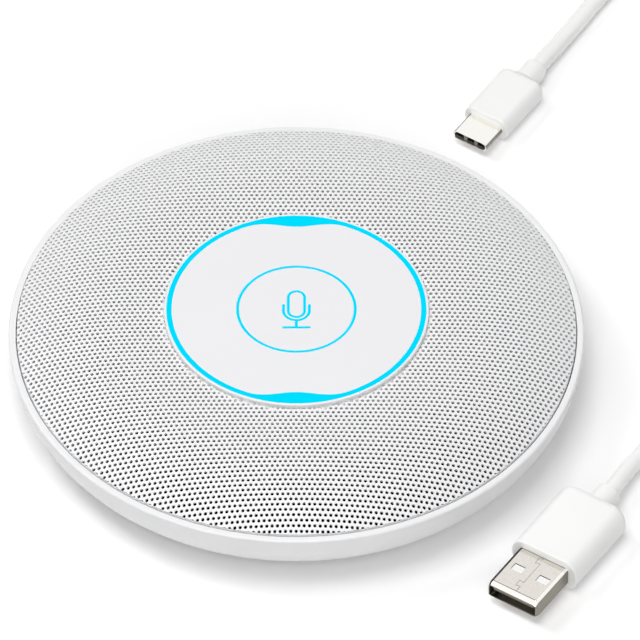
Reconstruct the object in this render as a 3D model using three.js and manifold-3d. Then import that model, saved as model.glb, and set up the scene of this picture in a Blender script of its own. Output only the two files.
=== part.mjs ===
// Round table-top conference microphone with a perforated dome, a lit centre panel with a
// mute key, and its detachable USB-C to USB-A cable, coiled beside it.
// Millimetres, +Z up. The origin is on the table, under the middle of the round body.
// The rear, where the cable plugs in, faces +Y.

import * as THREE from 'three';
import { mergeVertices } from 'three/addons/utils/BufferGeometryUtils.js';
import Module from 'manifold-3d';

const wasm = await Module();
wasm.setup();

// Driving dimensions

// Clearances
const seatGap = 0.1;
const sideGap = 0.1;
const looseGap = 0.3;
const cutOverrun = 2;

// Lower housing
const bodyRadius = 60;
const lipHeight = 14.5;
const lipWidth = 1.6;
const lipRound = 0.9;
const sideReach = 12;
const shellWall = 2.2;
const footStand = 1;
const bossRadius = 4.5;
const bossHeight = 2.8;
const counterboreRadius = 2.6;
const counterboreDepth = 2.8;
const screwHoleRadius = 1.5;
const standoffRadius = 2.6;
const standoffHeight = 1;
const pilotDepth = 2.2;

// Rubber foot ring
const footWidth = 4;
const footMargin = 1.4;
const footSeatDepth = 0.6;

// Grille and cloth
const sheetThickness = 0.6;
const grilleGap = 0.25;
const grilleRecess = 0.1;
const grilleRise = 5.85;
const clothThickness = 0.3;
const domePower = 2.75;

// Inner frame
const flangeThickness = 1.2;
const flangeWidth = 4.5;
const ribWidth = 2;
const spokeDrop = 1;
const spokeThickness = 2.6;
const spokeWidth = 8;
const shoulderWidth = 3.25;
const ledgeWidth = 3.15;
const pillarRadius = 3.2;
const pillarMargin = 2.8;
const padRadius = 5.6;
const padMargin = 1.2;

// Centre: bezel, light ring, panel, halo and key
const panelProud = 1.25;
const panelRadius = 25.96;
const panelThickness = 1.6;
const skirtWall = 1.2;
const lightWidth = 0.94;
const lightHeight = 4.8;
const lobeDepth = 2.15;
const lobeHalfAngle = THREE.MathUtils.degToRad(23);
const bezelWidth = 0.65;
const bezelGap = 0.15;
const bezelHeight = 3.4;
const bezelRound = 0.25;
const keyRadius = 12.04;
const keyCapThickness = 1.6;
const keyWall = 1.24;
const keyFlangeWidth = 0.96;
const keyFlangeThickness = 1;
const keyTravel = 0.6;
const stemRadius = 2;
const stemRoom = 0.2;
const haloWidth = 0.4;
const haloFlangeWidth = 1.96;
const haloFlangeThickness = 0.9;

// Pictogram on the key
const lineWidth = 0.4;
const inlayDepth = 0.6;
const capsuleWidth = 3.96;
const capsuleHeight = 7.7;
const capsuleRise = 1.46;
const bracketWidth = 5.94;
const bracketTop = 1.4;
const bracketFoot = 3.26;
const standDrop = 5.25;

// Light board and key switch
const lightBoardThickness = 1.1;
const ledDepth = 1.6;
const ledWidth = 3;
const ledHeight = 1.2;
const skirtRoom = 0.4;
const switchSide = 5.2;
const switchHeight = 1.6;
const switchFloor = 0.2;
const plungerRadius = 1.3;

// Main board and what stands on it
const boardThickness = 1.2;
const boardMargin = 2.5;
const boardWallRoom = 0.8;
const tabMargin = 2.5;
const boardScrewInset = 4;
const chipSide = 8;
const chipHeight = 1;
const chipX = 8;
const chipY = -6;
const capacitorRadius = 2.5;
const capacitorHeight = 5.4;
const capacitorX = -10;
const capacitorY = 14;
const linkLength = 8;
const linkWidth = 2.5;
const linkX = -12;
const linkY = -6;

// USB-C socket and its port
const socketWidth = 8.94;
const socketHeight = 3.2;
const socketLength = 7.3;
const socketWall = 0.3;
const tongueWidth = 6.7;
const tongueThickness = 0.7;
const tongueSetback = 1;
const portRoom = 0.4;

// Microphone capsules and rubber boots
const capsuleRadius = 3;
const capsuleThickness = 2.7;
const soundHoleRadius = 1;
const soundHoleDepth = 0.5;
const bootWall = 1.4;
const bootFloor = 0.8;

// Screws
const caseHeadRadius = 2.3;
const caseHeadHeight = 1.6;
const caseShankRadius = 1.2;
const caseShankLength = 6.5;
const boardHeadRadius = 1.9;
const boardHeadHeight = 1.3;
const boardShankRadius = 0.9;
const driveWidth = 0.6;
const driveDepth = 0.7;

// USB-C plug
const plugCWidth = 8.25;
const plugCThickness = 2.4;
const plugCLength = 6.2;
const gripCWidth = 10.6;
const gripCThickness = 5.6;
const gripCLength = 14.5;
const neckCLength = 5.3;
const neckCRadius = 2.55;

// USB-A plug
const plugAWidth = 12;
const plugAThickness = 4.5;
const plugALength = 12;
const plugACorner = 0.5;
const gripAWidth = 16;
const gripAThickness = 8;
const gripALength = 20;
const neckALength = 5;
const neckARadius = 2.7;
const insulatorThickness = 1.9;
const insulatorSetback = 0.6;
const contactWidth = 1;
const contactThickness = 0.2;
const contactLength = 7;
const contactSpacing = 2.3;
const windowWidth = 2.3;
const windowLength = 2;
const windowFromTip = 5.2;
const windowSpacing = 5.6;

// What both plugs share
const plugWall = 0.3;
const plugSunk = 1.8;
const neckRound = 0.6;

// Where the plugs lie, and which way their tips point away from
const plugAngle = THREE.MathUtils.degToRad(56.5);
const plugCTip = [36.4, 66.85];
const plugATip = [44.65, -66.85];

// Cable
const cordDiameter = 3.7;
const floorGap = 0.05;
const coilStart = [104, 122.6];
const coilTurns = 10.25;
const coilLayers = 4;
const coilMeanRadius = 19.88;
const layerClimb = 0.5;
const loopGap = 0.5;
const tieThickness = 0.5;
const tieWidth = 6;
const tieAngle = THREE.MathUtils.degToRad(200);
const gapCheckStep = 1;

// Counts
const roundSteps = 52;
const lobedSteps = 72;
const centreSteps = 48;
const innerSteps = 36;
const smallSteps = 12;
const screwSteps = 10;
const cornerSteps = 2;
const arcSteps = 3;
const boardArcSteps = 9;
const ledCount = 8;
const spokeCount = 4;
const boardScrewCount = 3;
const loopSteps = 24;
const loopSides = 6;
const cordSides = 8;
const contactCount = 4;

// Shares
const fullRoundShare = 0.96;
const stepLengthShare = 2.2;

// Heights and radii that follow from them

const undersideRadius = bodyRadius - sideReach;
const sideDrop = lipHeight - footStand;
const floorTop = footStand + shellWall;
const rebateRadius = bodyRadius - lipWidth;

const lightInner = panelRadius + sideGap;
const lightOuter = lightInner + lightWidth;
const bezelInner = lightOuter + sideGap;
const bezelOuter = bezelInner + bezelWidth;
const grilleInner = bezelOuter + bezelGap;
const grilleOuter = rebateRadius - grilleGap;

const grilleEdgeTop = lipHeight - grilleRecess;
const grilleCrown = grilleEdgeTop + grilleRise;
const panelTop = grilleCrown + panelProud;
const panelUnderside = panelTop - panelThickness;
const clothDrop = sheetThickness + looseGap;
const flangeTop = grilleEdgeTop - clothDrop - clothThickness - seatGap;
const ledgeTop = flangeTop - flangeThickness - seatGap;

const bezelBottom = panelTop - bezelHeight;
const lightBottom = panelTop - lightHeight;
const lightBoardTop = lightBottom - seatGap;
const lightBoardBottom = lightBoardTop - lightBoardThickness;
const collarLedge = lightBoardBottom - seatGap;
const collarBore = bezelInner;
const collarRadius = bezelOuter + shoulderWidth;
const spokeTop = flangeTop - spokeDrop;
const spokeBottom = spokeTop - spokeThickness;
const flangeRadius = rebateRadius - looseGap;
const ribInner = flangeRadius - flangeWidth;

const pillarPlace = collarRadius + pillarMargin + pillarRadius;
const padPlace = ribInner - padMargin - padRadius;
const bossTop = floorTop + bossHeight;
const pillarBottom = bossTop + seatGap;
const counterboreTop = footStand + counterboreDepth;

const boardBottom = floorTop + standoffHeight + seatGap;
const boardTop = boardBottom + boardThickness;
const boardRadius = pillarPlace - bossRadius - boardMargin;
const boardScrewPlace = boardRadius - boardScrewInset;
const boardHoleRadius = boardShankRadius + looseGap;
const socketBottom = boardTop + seatGap;
const socketMiddle = socketBottom + socketHeight / 2;

const haloInner = keyRadius + sideGap;
const haloOuter = haloInner + haloWidth;
const haloFlangeTop = panelUnderside - seatGap;
const haloBottom = haloFlangeTop - haloFlangeThickness;
const keyFlangeTop = haloBottom - seatGap;
const keyFlangeBottom = keyFlangeTop - keyFlangeThickness;
const keyCapUnderside = panelTop - keyCapThickness;
const switchBottom = lightBoardTop + seatGap;
const switchTop = switchBottom + switchHeight;
const stemBottom = switchTop + keyTravel + stemRoom;
const plungerTop = stemBottom - seatGap;
const plungerBore = switchBottom + switchFloor;
const plungerBottom = plungerBore + keyTravel + seatGap;

const ledPlace = lightInner - looseGap - ledDepth / 2;
const skirtOuter = ledPlace - ledDepth / 2 - skirtRoom;

const bootRadius = capsuleRadius + sideGap + bootWall;
const bootBottom = spokeTop + seatGap;
const capsuleBottom = bootBottom + bootFloor + seatGap;
const bootTop = capsuleBottom + capsuleThickness;

const cordRadius = cordDiameter / 2;
const cordRest = cordRadius + floorGap * 2;
const loopPitch = cordDiameter + loopGap;
const coilSpread = (coilTurns / coilLayers) * loopPitch / 2;
const coilOuter = coilMeanRadius + coilSpread;
const coilInner = coilMeanRadius - coilSpread;
const coilCentre = [coilStart[0], coilStart[1] - coilOuter];
const coilBase = floorGap + tieThickness + looseGap + cordRadius;
const coilTop = coilBase + (coilLayers - 1) * loopPitch;

// Half an ellipse's height over a radius, as the housing's side is curved, inside and outside.
function sideRadius(height, inset) {
  const drop = (lipHeight - height) / (sideDrop - inset);
  return undersideRadius + (sideReach - inset) * Math.sqrt(Math.max(0, 1 - drop * drop));
}

// Top of the grille's sheet at a radius.
function domeTop(radius) {
  const share = THREE.MathUtils.clamp((radius - grilleInner) / (grilleOuter - grilleInner), 0, 1);
  return grilleEdgeTop + grilleRise * (1 - share ** domePower);
}

const shoulderTop = domeTop(collarRadius) - clothDrop - clothThickness - seatGap;

// Mesh helpers

// Signed volume, positive when the faces point out.
function signedVolume(geometry) {
  const place = geometry.attributes.position;
  const index = geometry.index.array;
  const [a, b, c] = [new THREE.Vector3(), new THREE.Vector3(), new THREE.Vector3()];
  let total = 0;
  for (let i = 0; i < index.length; i += 3) {
    a.fromBufferAttribute(place, index[i]);
    b.fromBufferAttribute(place, index[i + 1]);
    c.fromBufferAttribute(place, index[i + 2]);
    total += a.dot(b.cross(c));
  }
  return total / 6;
}

// One closed body: shared corners merged, empty triangles dropped, faces turned outward.
function closed(geometry) {
  geometry.deleteAttribute('normal');
  geometry.deleteAttribute('uv');
  const merged = mergeVertices(geometry);
  const index = merged.index.array;
  const kept = [];
  for (let i = 0; i < index.length; i += 3) {
    const [a, b, c] = [index[i], index[i + 1], index[i + 2]];
    if (a !== b && b !== c && c !== a) kept.push(a, b, c);
  }
  merged.setIndex(kept);
  if (signedVolume(merged) < 0) merged.setIndex(kept.reverse());
  return merged;
}

function toSolid(geometry) {
  const body = closed(geometry);
  return new wasm.Manifold(new wasm.Mesh({
    numProp: 3,
    vertProperties: new Float32Array(body.attributes.position.array),
    triVerts: new Uint32Array(body.index.array),
  }));
}

function toGeometry(solid) {
  const mesh = solid.getMesh();
  const geometry = new THREE.BufferGeometry();
  geometry.setAttribute('position', new THREE.BufferAttribute(mesh.vertProperties, 3));
  geometry.setIndex([...mesh.triVerts]);
  return geometry;
}

function joined(...geometries) {
  return toGeometry(geometries.map(toSolid).reduce((all, next) => all.add(next)));
}

function cut(geometry, ...tools) {
  return toGeometry(tools.map(toSolid).reduce((rest, tool) => rest.subtract(tool), toSolid(geometry)));
}

// A closed profile of [radius, height] corners, turned about Z.
function turned(profile, steps) {
  const corners = [...profile, profile[0]].map(([radius, height]) => new THREE.Vector2(radius, height));
  return closed(new THREE.LatheGeometry(corners, steps).rotateX(Math.PI / 2));
}

function tubeProfile(inner, outer, bottom, top) {
  return [[inner, bottom], [outer, bottom], [outer, top], [inner, top]];
}

function disc(radius, bottom, top, steps, x = 0, y = 0) {
  return turned(tubeProfile(0, radius, bottom, top), steps).translate(x, y, 0);
}

function block(width, depth, bottom, top, x = 0, y = 0) {
  return new THREE.BoxGeometry(width, depth, top - bottom).translate(x, y, (top + bottom) / 2);
}

// A flat outline made thick upwards from a height.
function slab(shape, bottom, top, curveSegments = arcSteps) {
  const settings = { depth: top - bottom, bevelEnabled: false, curveSegments };
  return closed(new THREE.ExtrudeGeometry(shape, settings).translate(0, 0, bottom));
}

// A section drawn across a plug (sideways, up), made long along +X from a start.
function bar(shape, start, length, curveSegments = cornerSteps) {
  const settings = { depth: length, bevelEnabled: false, curveSegments };
  const geometry = new THREE.ExtrudeGeometry(shape, settings);
  const turn = new THREE.Matrix4().set(0, 0, 1, start, 1, 0, 0, 0, 0, 1, 0, 0, 0, 0, 0, 1);
  return closed(geometry.applyMatrix4(turn));
}

// A rectangle with round corners about a middle.
function roundedBox(width, height, corner, x = 0, y = 0) {
  const [left, right, low, high] = [x - width / 2, x + width / 2, y - height / 2, y + height / 2];
  const quarter = Math.PI / 2;
  const shape = new THREE.Shape();
  shape.moveTo(right, low + corner);
  shape.lineTo(right, high - corner);
  shape.absarc(right - corner, high - corner, corner, 0, quarter, false);
  shape.lineTo(left + corner, high);
  shape.absarc(left + corner, high - corner, corner, quarter, 2 * quarter, false);
  shape.lineTo(left, low + corner);
  shape.absarc(left + corner, low + corner, corner, 2 * quarter, 3 * quarter, false);
  shape.lineTo(right - corner, low);
  shape.absarc(right - corner, low + corner, corner, 3 * quarter, 4 * quarter, false);
  return shape;
}

function circlePath(radius, x = 0, y = 0) {
  const path = new THREE.Path();
  path.absarc(x, y, radius, 0, 2 * Math.PI, true);
  return path;
}

function shapeOf(points) {
  return new THREE.Shape(points.map(([x, y]) => new THREE.Vector2(x, y)));
}

// The places of repeated pieces round the middle.
function ringAngles(count, first) {
  return Array.from({ length: count }, (_, i) => first + (i * 2 * Math.PI) / count);
}

// Materials

function finish(colour, roughness, metalness = 0) {
  return new THREE.MeshStandardMaterial({ color: colour, roughness, metalness });
}

const materials = {
  housing: finish(0xf4f4f2, 0.42),
  grille: finish(0xeef0f2, 0.45, 0.1),
  cloth: finish(0x141414, 0.95),
  frame: finish(0x2a2a2c, 0.6),
  panel: finish(0xeeeef1, 0.35),
  light: finish(0x00e0ff, 0.3),
  rubber: finish(0x222224, 0.9),
  board: finish(0x14532d, 0.55),
  chip: finish(0x18181a, 0.5),
  led: finish(0xf5f2d8, 0.3),
  tin: finish(0xc8ccd0, 0.35, 0.9),
  gold: finish(0xd4a94a, 0.3, 0.9),
  steel: finish(0xb9bcc0, 0.35, 0.95),
  cord: finish(0xf3f3f1, 0.5),
};

// The assembly

const part = new THREE.Group();

function add(name, geometry, material, parent = part) {
  const body = closed(geometry);
  body.computeVertexNormals();
  const mesh = new THREE.Mesh(body, material);
  mesh.name = name;
  parent.add(mesh);
  return mesh;
}

// Lower housing

function housingProfile() {
  const footOuter = undersideRadius - footMargin;
  const footInner = footOuter - footWidth;
  const grooveTop = footStand + footSeatDepth;
  const profile = [
    [0, footStand],
    [footInner - looseGap, footStand],
    [footInner - looseGap, grooveTop],
    [footOuter + looseGap, grooveTop],
    [footOuter + looseGap, footStand],
  ];
  const outerShares = [0, 0.09, 0.27, 0.52, 0.77];
  const sideTop = lipHeight - lipRound;
  for (const share of outerShares) {
    const height = footStand + share * (sideTop - footStand);
    profile.push([sideRadius(height, 0), height]);
  }
  for (const turn of [0, Math.PI / 4, Math.PI / 2]) {
    const inward = lipRound * (1 - Math.cos(turn));
    profile.push([bodyRadius - inward, sideTop + lipRound * Math.sin(turn)]);
  }
  profile.push([rebateRadius, lipHeight], [rebateRadius, ledgeTop]);
  const innerShares = [1, 0.5, 0.15, 0];
  for (const share of innerShares) {
    const height = floorTop + share * (ledgeTop - floorTop);
    profile.push([sideRadius(height, shellWall), height]);
  }
  profile.push([0, floorTop]);
  return profile;
}

const spokeAngles = ringAngles(spokeCount, Math.PI / 4);
const boardScrewAngles = ringAngles(boardScrewCount, Math.PI / 6);

function polar(radius, angle) {
  return [radius * Math.cos(angle), radius * Math.sin(angle)];
}

function portOpening() {
  const width = gripCWidth + 2 * portRoom;
  const height = gripCThickness + 2 * portRoom;
  const shape = roundedBox(width, height, height / 2 - portRoom, 0, socketMiddle);
  const start = undersideRadius;
  return bar(shape, start, bodyRadius + cutOverrun - start).rotateZ(Math.PI / 2);
}

function makeHousing() {
  const sink = shellWall / 2;
  const bosses = spokeAngles.map((angle) => disc(
    bossRadius, floorTop - sink, bossTop, smallSteps, ...polar(pillarPlace, angle)));
  const standoffTop = floorTop + standoffHeight;
  const standoffs = boardScrewAngles.map((angle) => disc(
    standoffRadius, floorTop - sink, standoffTop, smallSteps, ...polar(boardScrewPlace, angle)));
  const counterbores = spokeAngles.map((angle) => disc(
    counterboreRadius, footStand - cutOverrun, counterboreTop, smallSteps, ...polar(pillarPlace, angle)));
  const holes = spokeAngles.map((angle) => disc(
    screwHoleRadius, footStand, bossTop + cutOverrun, smallSteps, ...polar(pillarPlace, angle)));
  const pilotBottom = standoffTop - pilotDepth;
  const pilots = boardScrewAngles.map((angle) => disc(
    boardHoleRadius, pilotBottom, standoffTop + cutOverrun, smallSteps, ...polar(boardScrewPlace, angle)));
  const shell = joined(turned(housingProfile(), roundSteps), ...bosses, ...standoffs);
  add('lower_housing', cut(shell, ...counterbores, ...holes, ...pilots, portOpening()), materials.housing);
}

function makeFootRing() {
  const outer = undersideRadius - footMargin;
  const top = footStand + footSeatDepth - seatGap;
  add('foot_ring', turned(tubeProfile(outer - footWidth, outer, 0, top), innerSteps), materials.rubber);
}

// Grille and cloth

function makeGrille() {
  const shares = [0, 0.25, 0.45, 0.62, 0.77, 0.9, 1];
  const turnedEdge = grilleInner + sheetThickness;
  const [first, ...rest] = shares.map((share) => grilleInner + share * (grilleOuter - grilleInner));
  const top = [first, ...rest].map((radius) => [radius, domeTop(radius)]);
  const bottom = rest.map((radius) => [radius, domeTop(radius) - sheetThickness]).reverse();
  const edge = [
    [turnedEdge, domeTop(turnedEdge) - sheetThickness],
    [turnedEdge, shoulderTop + seatGap],
    [grilleInner, shoulderTop + seatGap],
  ];
  add('grille', turned([...bottom, ...edge, ...top], roundSteps), materials.grille);
}

function makeCloth() {
  const inner = grilleInner + sheetThickness + looseGap;
  const outer = grilleOuter - looseGap;
  const shares = [0, 0.1, 0.5, 0.8, 1];
  const radii = shares.map((share) => inner + share * (outer - inner));
  const top = radii.map((radius) => [radius, domeTop(radius) - clothDrop]);
  const bottom = top.map(([radius, height]) => [radius, height - clothThickness]).reverse();
  add('acoustic_cloth', turned([...bottom, ...top], innerSteps), materials.cloth);
}

// Inner frame: an outer flange and rib, a collar under the centre, and spokes with pillars

function makeFrame() {
  const rim = turned([
    [ribInner, spokeBottom],
    [ribInner + ribWidth, spokeBottom],
    [ribInner + ribWidth, flangeTop - flangeThickness],
    [flangeRadius, flangeTop - flangeThickness],
    [flangeRadius, flangeTop],
    [ribInner, flangeTop],
  ], innerSteps);
  const stepTop = bezelBottom - seatGap;
  const stepRadius = bezelOuter + sideGap;
  const collar = turned([
    [collarBore - ledgeWidth, spokeBottom],
    [collarRadius, spokeBottom],
    [collarRadius, shoulderTop],
    [stepRadius, shoulderTop],
    [stepRadius, stepTop],
    [collarBore, stepTop],
    [collarBore, collarLedge],
    [collarBore - ledgeWidth, collarLedge],
  ], centreSteps);
  const reach = ribInner + ribWidth / 2 - collarRadius;
  const middle = collarRadius + reach / 2;
  const spokes = spokeAngles.map((angle) => {
    const spoke = block(reach + shoulderWidth, spokeWidth, spokeBottom, spokeTop, middle - shoulderWidth / 2);
    return spoke.rotateZ(angle);
  });
  const pads = spokeAngles.map((angle) => disc(
    padRadius, spokeBottom, spokeTop, smallSteps, ...polar(padPlace, angle)));
  const pillars = spokeAngles.map((angle) => disc(
    pillarRadius, pillarBottom, spokeTop, smallSteps, ...polar(pillarPlace, angle)));
  const boreTop = counterboreTop - seatGap + caseShankLength + looseGap;
  const bores = spokeAngles.map((angle) => disc(
    screwHoleRadius, pillarBottom - cutOverrun, boreTop, smallSteps, ...polar(pillarPlace, angle)));
  add('inner_frame', cut(joined(rim, collar, ...spokes, ...pads, ...pillars), ...bores), materials.frame);
}

// Centre

// How far the light ring's two lobes reach in at an angle, at the back and at the front.
function lobeReach(angle) {
  const offAxis = Math.asin(Math.min(1, Math.abs(Math.cos(angle))));
  if (offAxis > lobeHalfAngle) return 0;
  return lobeDepth * Math.cos((offAxis / lobeHalfAngle) * (Math.PI / 2)) ** 2;
}

// The edge between the panel and the light ring, moved in by a gap.
function lobedCircle(gap) {
  return ringAngles(lobedSteps, 0).map((angle) => polar(lightInner - lobeReach(angle) - gap, angle));
}

function makeBezel() {
  add('centre_bezel', turned([
    [bezelInner, bezelBottom],
    [bezelOuter, bezelBottom],
    [bezelOuter, panelTop - bezelRound],
    [bezelOuter - bezelRound * (1 - Math.SQRT1_2), panelTop - bezelRound * (1 - Math.SQRT1_2)],
    [bezelOuter - bezelRound, panelTop],
    [bezelInner, panelTop],
  ], centreSteps), materials.housing);
}

function makeLightRing() {
  const guide = turned(tubeProfile(lightInner, lightOuter, lightBottom, panelTop), lobedSteps);
  const lobes = shapeOf(ringAngles(lobedSteps, 0).map((angle) => polar(lightInner + lightWidth / 2, angle)));
  lobes.holes.push(new THREE.Path(lobedCircle(0).map(([x, y]) => new THREE.Vector2(x, y))));
  add('light_ring', joined(guide, slab(lobes, panelUnderside, panelTop)), materials.light);
}

function makePanel() {
  const outline = shapeOf(lobedCircle(sideGap));
  const plate = slab(outline, panelUnderside, panelTop);
  const hole = disc(haloOuter + sideGap, panelUnderside - cutOverrun, panelTop + cutOverrun, centreSteps);
  const skirt = turned(tubeProfile(skirtOuter - skirtWall, skirtOuter, lightBoardTop + seatGap,
    (panelUnderside + panelTop) / 2), innerSteps);
  add('centre_panel', cut(joined(plate, skirt), hole), materials.panel);
}

function makeHalo() {
  const flangeOuter = haloOuter + haloFlangeWidth;
  add('key_halo', turned([
    [haloInner, haloBottom],
    [flangeOuter, haloBottom],
    [flangeOuter, haloFlangeTop],
    [haloOuter, haloFlangeTop],
    [haloOuter, panelTop],
    [haloInner, panelTop],
  ], centreSteps), materials.light);
}

// Pictogram: the capsule's ring, and the stand of bracket, stem and base line.
// Grown outlines cut the recesses that the inlays lie in.
function capsuleInlay(bottom, top, grow) {
  const outerWidth = capsuleWidth + 2 * grow;
  const outerHeight = capsuleHeight + 2 * grow;
  const innerWidth = capsuleWidth - 2 * lineWidth - 2 * grow;
  const innerHeight = capsuleHeight - 2 * lineWidth - 2 * grow;
  const outline = roundedBox(outerWidth, outerHeight, outerWidth / 2, 0, capsuleRise);
  outline.holes.push(roundedBox(innerWidth, innerHeight, innerWidth / 2, 0, capsuleRise));
  return slab(outline, bottom, top);
}

function standInlay(bottom, top, grow) {
  const outer = bracketWidth / 2 + grow;
  const inner = bracketWidth / 2 - lineWidth - grow;
  const bend = bracketWidth / 2 - bracketFoot;
  const bracket = new THREE.Shape();
  bracket.moveTo(outer, bracketTop + grow);
  bracket.lineTo(inner, bracketTop + grow);
  bracket.lineTo(inner, bend);
  bracket.absarc(0, bend, inner, 0, -Math.PI, true);
  bracket.lineTo(-inner, bracketTop + grow);
  bracket.lineTo(-outer, bracketTop + grow);
  bracket.lineTo(-outer, bend);
  bracket.absarc(0, bend, outer, -Math.PI, 0, false);
  const stemTop = -bracketFoot + lineWidth / 2;
  const stem = block(lineWidth + 2 * grow, stemTop + standDrop, bottom, top, 0, (stemTop - standDrop) / 2);
  const base = block(bracketWidth + 2 * grow, lineWidth + 2 * grow, bottom, top, 0, -standDrop);
  return joined(slab(bracket, bottom, top), stem, base);
}

function makeKey() {
  const inner = keyRadius - keyWall;
  const cap = turned([
    [0, stemBottom],
    [stemRadius, stemBottom],
    [stemRadius, keyCapUnderside],
    [inner, keyCapUnderside],
    [inner, keyFlangeBottom],
    [keyRadius + keyFlangeWidth, keyFlangeBottom],
    [keyRadius + keyFlangeWidth, keyFlangeTop],
    [keyRadius, keyFlangeTop],
    [keyRadius, panelTop],
    [0, panelTop],
  ], centreSteps);
  const recess = panelTop - inlayDepth - seatGap;
  const recesses = [
    capsuleInlay(recess, panelTop + cutOverrun, sideGap),
    standInlay(recess, panelTop + cutOverrun, sideGap),
  ];
  add('mute_key', cut(cap, ...recesses), materials.panel);
  add('icon_capsule', capsuleInlay(panelTop - inlayDepth, panelTop, 0), materials.light);
  add('icon_stand', standInlay(panelTop - inlayDepth, panelTop, 0), materials.light);
}

// Light board, lights and key switch

function makeLightBoard() {
  const board = disc(collarBore - sideGap, lightBoardBottom, lightBoardTop, innerSteps);
  add('light_board', board, materials.board);
  const bottom = lightBoardTop + seatGap;
  ringAngles(ledCount, Math.PI / ledCount).forEach((angle, i) => {
    const light = block(ledDepth, ledWidth, bottom, bottom + ledHeight, ledPlace).rotateZ(angle);
    add(`ring_led_${i + 1}`, light, materials.led);
  });
}

function makeSwitch() {
  const body = block(switchSide, switchSide, switchBottom, switchTop);
  const bore = disc(plungerRadius + sideGap, plungerBore, switchTop + cutOverrun, smallSteps);
  add('switch_body', cut(body, bore), materials.chip);
  add('switch_plunger', disc(plungerRadius, plungerBottom, plungerTop, smallSteps), materials.led);
}

// Main board, its parts and the USB-C socket

const tabHalf = socketWidth / 2 + tabMargin;
const tabEnd = Math.sqrt((sideRadius(boardBottom, shellWall) - boardWallRoom) ** 2 - tabHalf ** 2);
const socketFace = Math.sqrt((sideRadius(boardTop, shellWall) - boardWallRoom) ** 2 - (socketWidth / 2) ** 2);

function makeMainBoard() {
  const tabRoot = Math.sqrt(boardRadius ** 2 - tabHalf ** 2);
  const rootAngle = Math.atan2(tabRoot, tabHalf);
  const outline = new THREE.Shape();
  outline.moveTo(tabHalf, tabRoot);
  outline.lineTo(tabHalf, tabEnd);
  outline.lineTo(-tabHalf, tabEnd);
  outline.lineTo(-tabHalf, tabRoot);
  outline.absarc(0, 0, boardRadius, Math.PI - rootAngle, 2 * Math.PI + rootAngle, false);
  for (const angle of boardScrewAngles) {
    outline.holes.push(circlePath(boardHoleRadius, ...polar(boardScrewPlace, angle)));
  }
  add('main_board', slab(outline, boardBottom, boardTop, boardArcSteps), materials.board);
  const base = boardTop + seatGap;
  add('processor_chip', block(chipSide, chipSide, base, base + chipHeight, chipX, chipY), materials.chip);
  const can = disc(capacitorRadius, base, base + capacitorHeight, smallSteps, capacitorX, capacitorY);
  add('capacitor', can, materials.tin);
  const linkTop = lightBoardBottom - seatGap;
  add('board_link', block(linkLength, linkWidth, base, linkTop, linkX, linkY), materials.chip);
}

function makeSocket() {
  const outerCorner = (socketHeight / 2) * fullRoundShare;
  const outer = bar(roundedBox(socketWidth, socketHeight, outerCorner, 0, socketMiddle), 0, socketLength);
  const mouthWidth = socketWidth - 2 * socketWall;
  const mouthHeight = socketHeight - 2 * socketWall;
  const mouthCorner = (mouthHeight / 2) * fullRoundShare;
  const mouthShape = roundedBox(mouthWidth, mouthHeight, mouthCorner, 0, socketMiddle);
  const mouth = bar(mouthShape, socketWall, socketLength + cutOverrun);
  const start = socketFace - socketLength;
  const socket = cut(outer, mouth).translate(start, 0, 0).rotateZ(Math.PI / 2);
  add('usb_c_socket', socket, materials.steel);
  const tongueStart = start + socketWall + seatGap;
  const tongueEnd = socketFace - tongueSetback;
  add('usb_c_socket_tongue', block(tongueWidth, tongueEnd - tongueStart, socketMiddle - tongueThickness / 2,
    socketMiddle + tongueThickness / 2, 0, (tongueStart + tongueEnd) / 2), materials.chip);
}

// Microphone capsules in their boots, on the spokes' pads

function makeMicrophones() {
  const pocket = capsuleRadius + sideGap;
  spokeAngles.forEach((angle, i) => {
    const place = polar(padPlace, angle);
    const boot = turned([
      [0, bootBottom],
      [bootRadius, bootBottom],
      [bootRadius, bootTop],
      [pocket, bootTop],
      [pocket, capsuleBottom - seatGap],
      [0, capsuleBottom - seatGap],
    ], smallSteps);
    add(`mic_boot_${i + 1}`, boot.translate(...place, 0), materials.rubber);
    const holeFloor = bootTop - soundHoleDepth;
    const capsule = turned([
      [0, capsuleBottom],
      [capsuleRadius, capsuleBottom],
      [capsuleRadius, bootTop],
      [soundHoleRadius, bootTop],
      [soundHoleRadius, holeFloor],
      [0, holeFloor],
    ], smallSteps);
    add(`mic_capsule_${i + 1}`, capsule.translate(...place, 0), materials.tin);
  });
}

// Screws, with a cross recess in the head

function screw(headRadius, headHeight, shankRadius, shankLength) {
  const body = turned([
    [0, 0],
    [headRadius, 0],
    [headRadius, headHeight],
    [shankRadius, headHeight],
    [shankRadius, headHeight + shankLength],
    [0, headHeight + shankLength],
  ], screwSteps);
  const bars = [
    block(2 * headRadius - 2 * driveWidth, driveWidth, -cutOverrun, driveDepth),
    block(driveWidth, 2 * headRadius - 2 * driveWidth, -cutOverrun, driveDepth),
  ];
  return cut(body, ...bars);
}

function makeScrews() {
  const caseHeadBottom = counterboreTop - seatGap - caseHeadHeight;
  spokeAngles.forEach((angle, i) => {
    const place = polar(pillarPlace, angle);
    const body = screw(caseHeadRadius, caseHeadHeight, caseShankRadius, caseShankLength);
    add(`case_screw_${i + 1}`, body.translate(...place, caseHeadBottom), materials.steel);
  });
  const boardHeadTop = boardTop + seatGap + boardHeadHeight;
  const length = boardTop + seatGap - (floorTop + standoffHeight - pilotDepth) - looseGap;
  boardScrewAngles.forEach((angle, i) => {
    const place = polar(boardScrewPlace, angle);
    const body = screw(boardHeadRadius, boardHeadHeight, boardShankRadius, length).rotateX(Math.PI);
    add(`board_screw_${i + 1}`, body.translate(...place, boardHeadTop), materials.steel);
  });
}

// Plugs. Each is built along +X from its tip, lying on the table, then turned into place.

function plugGroup([x, y]) {
  const group = new THREE.Group();
  group.position.set(x, y, floorGap);
  group.rotation.z = plugAngle;
  part.add(group);
  return group;
}

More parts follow.
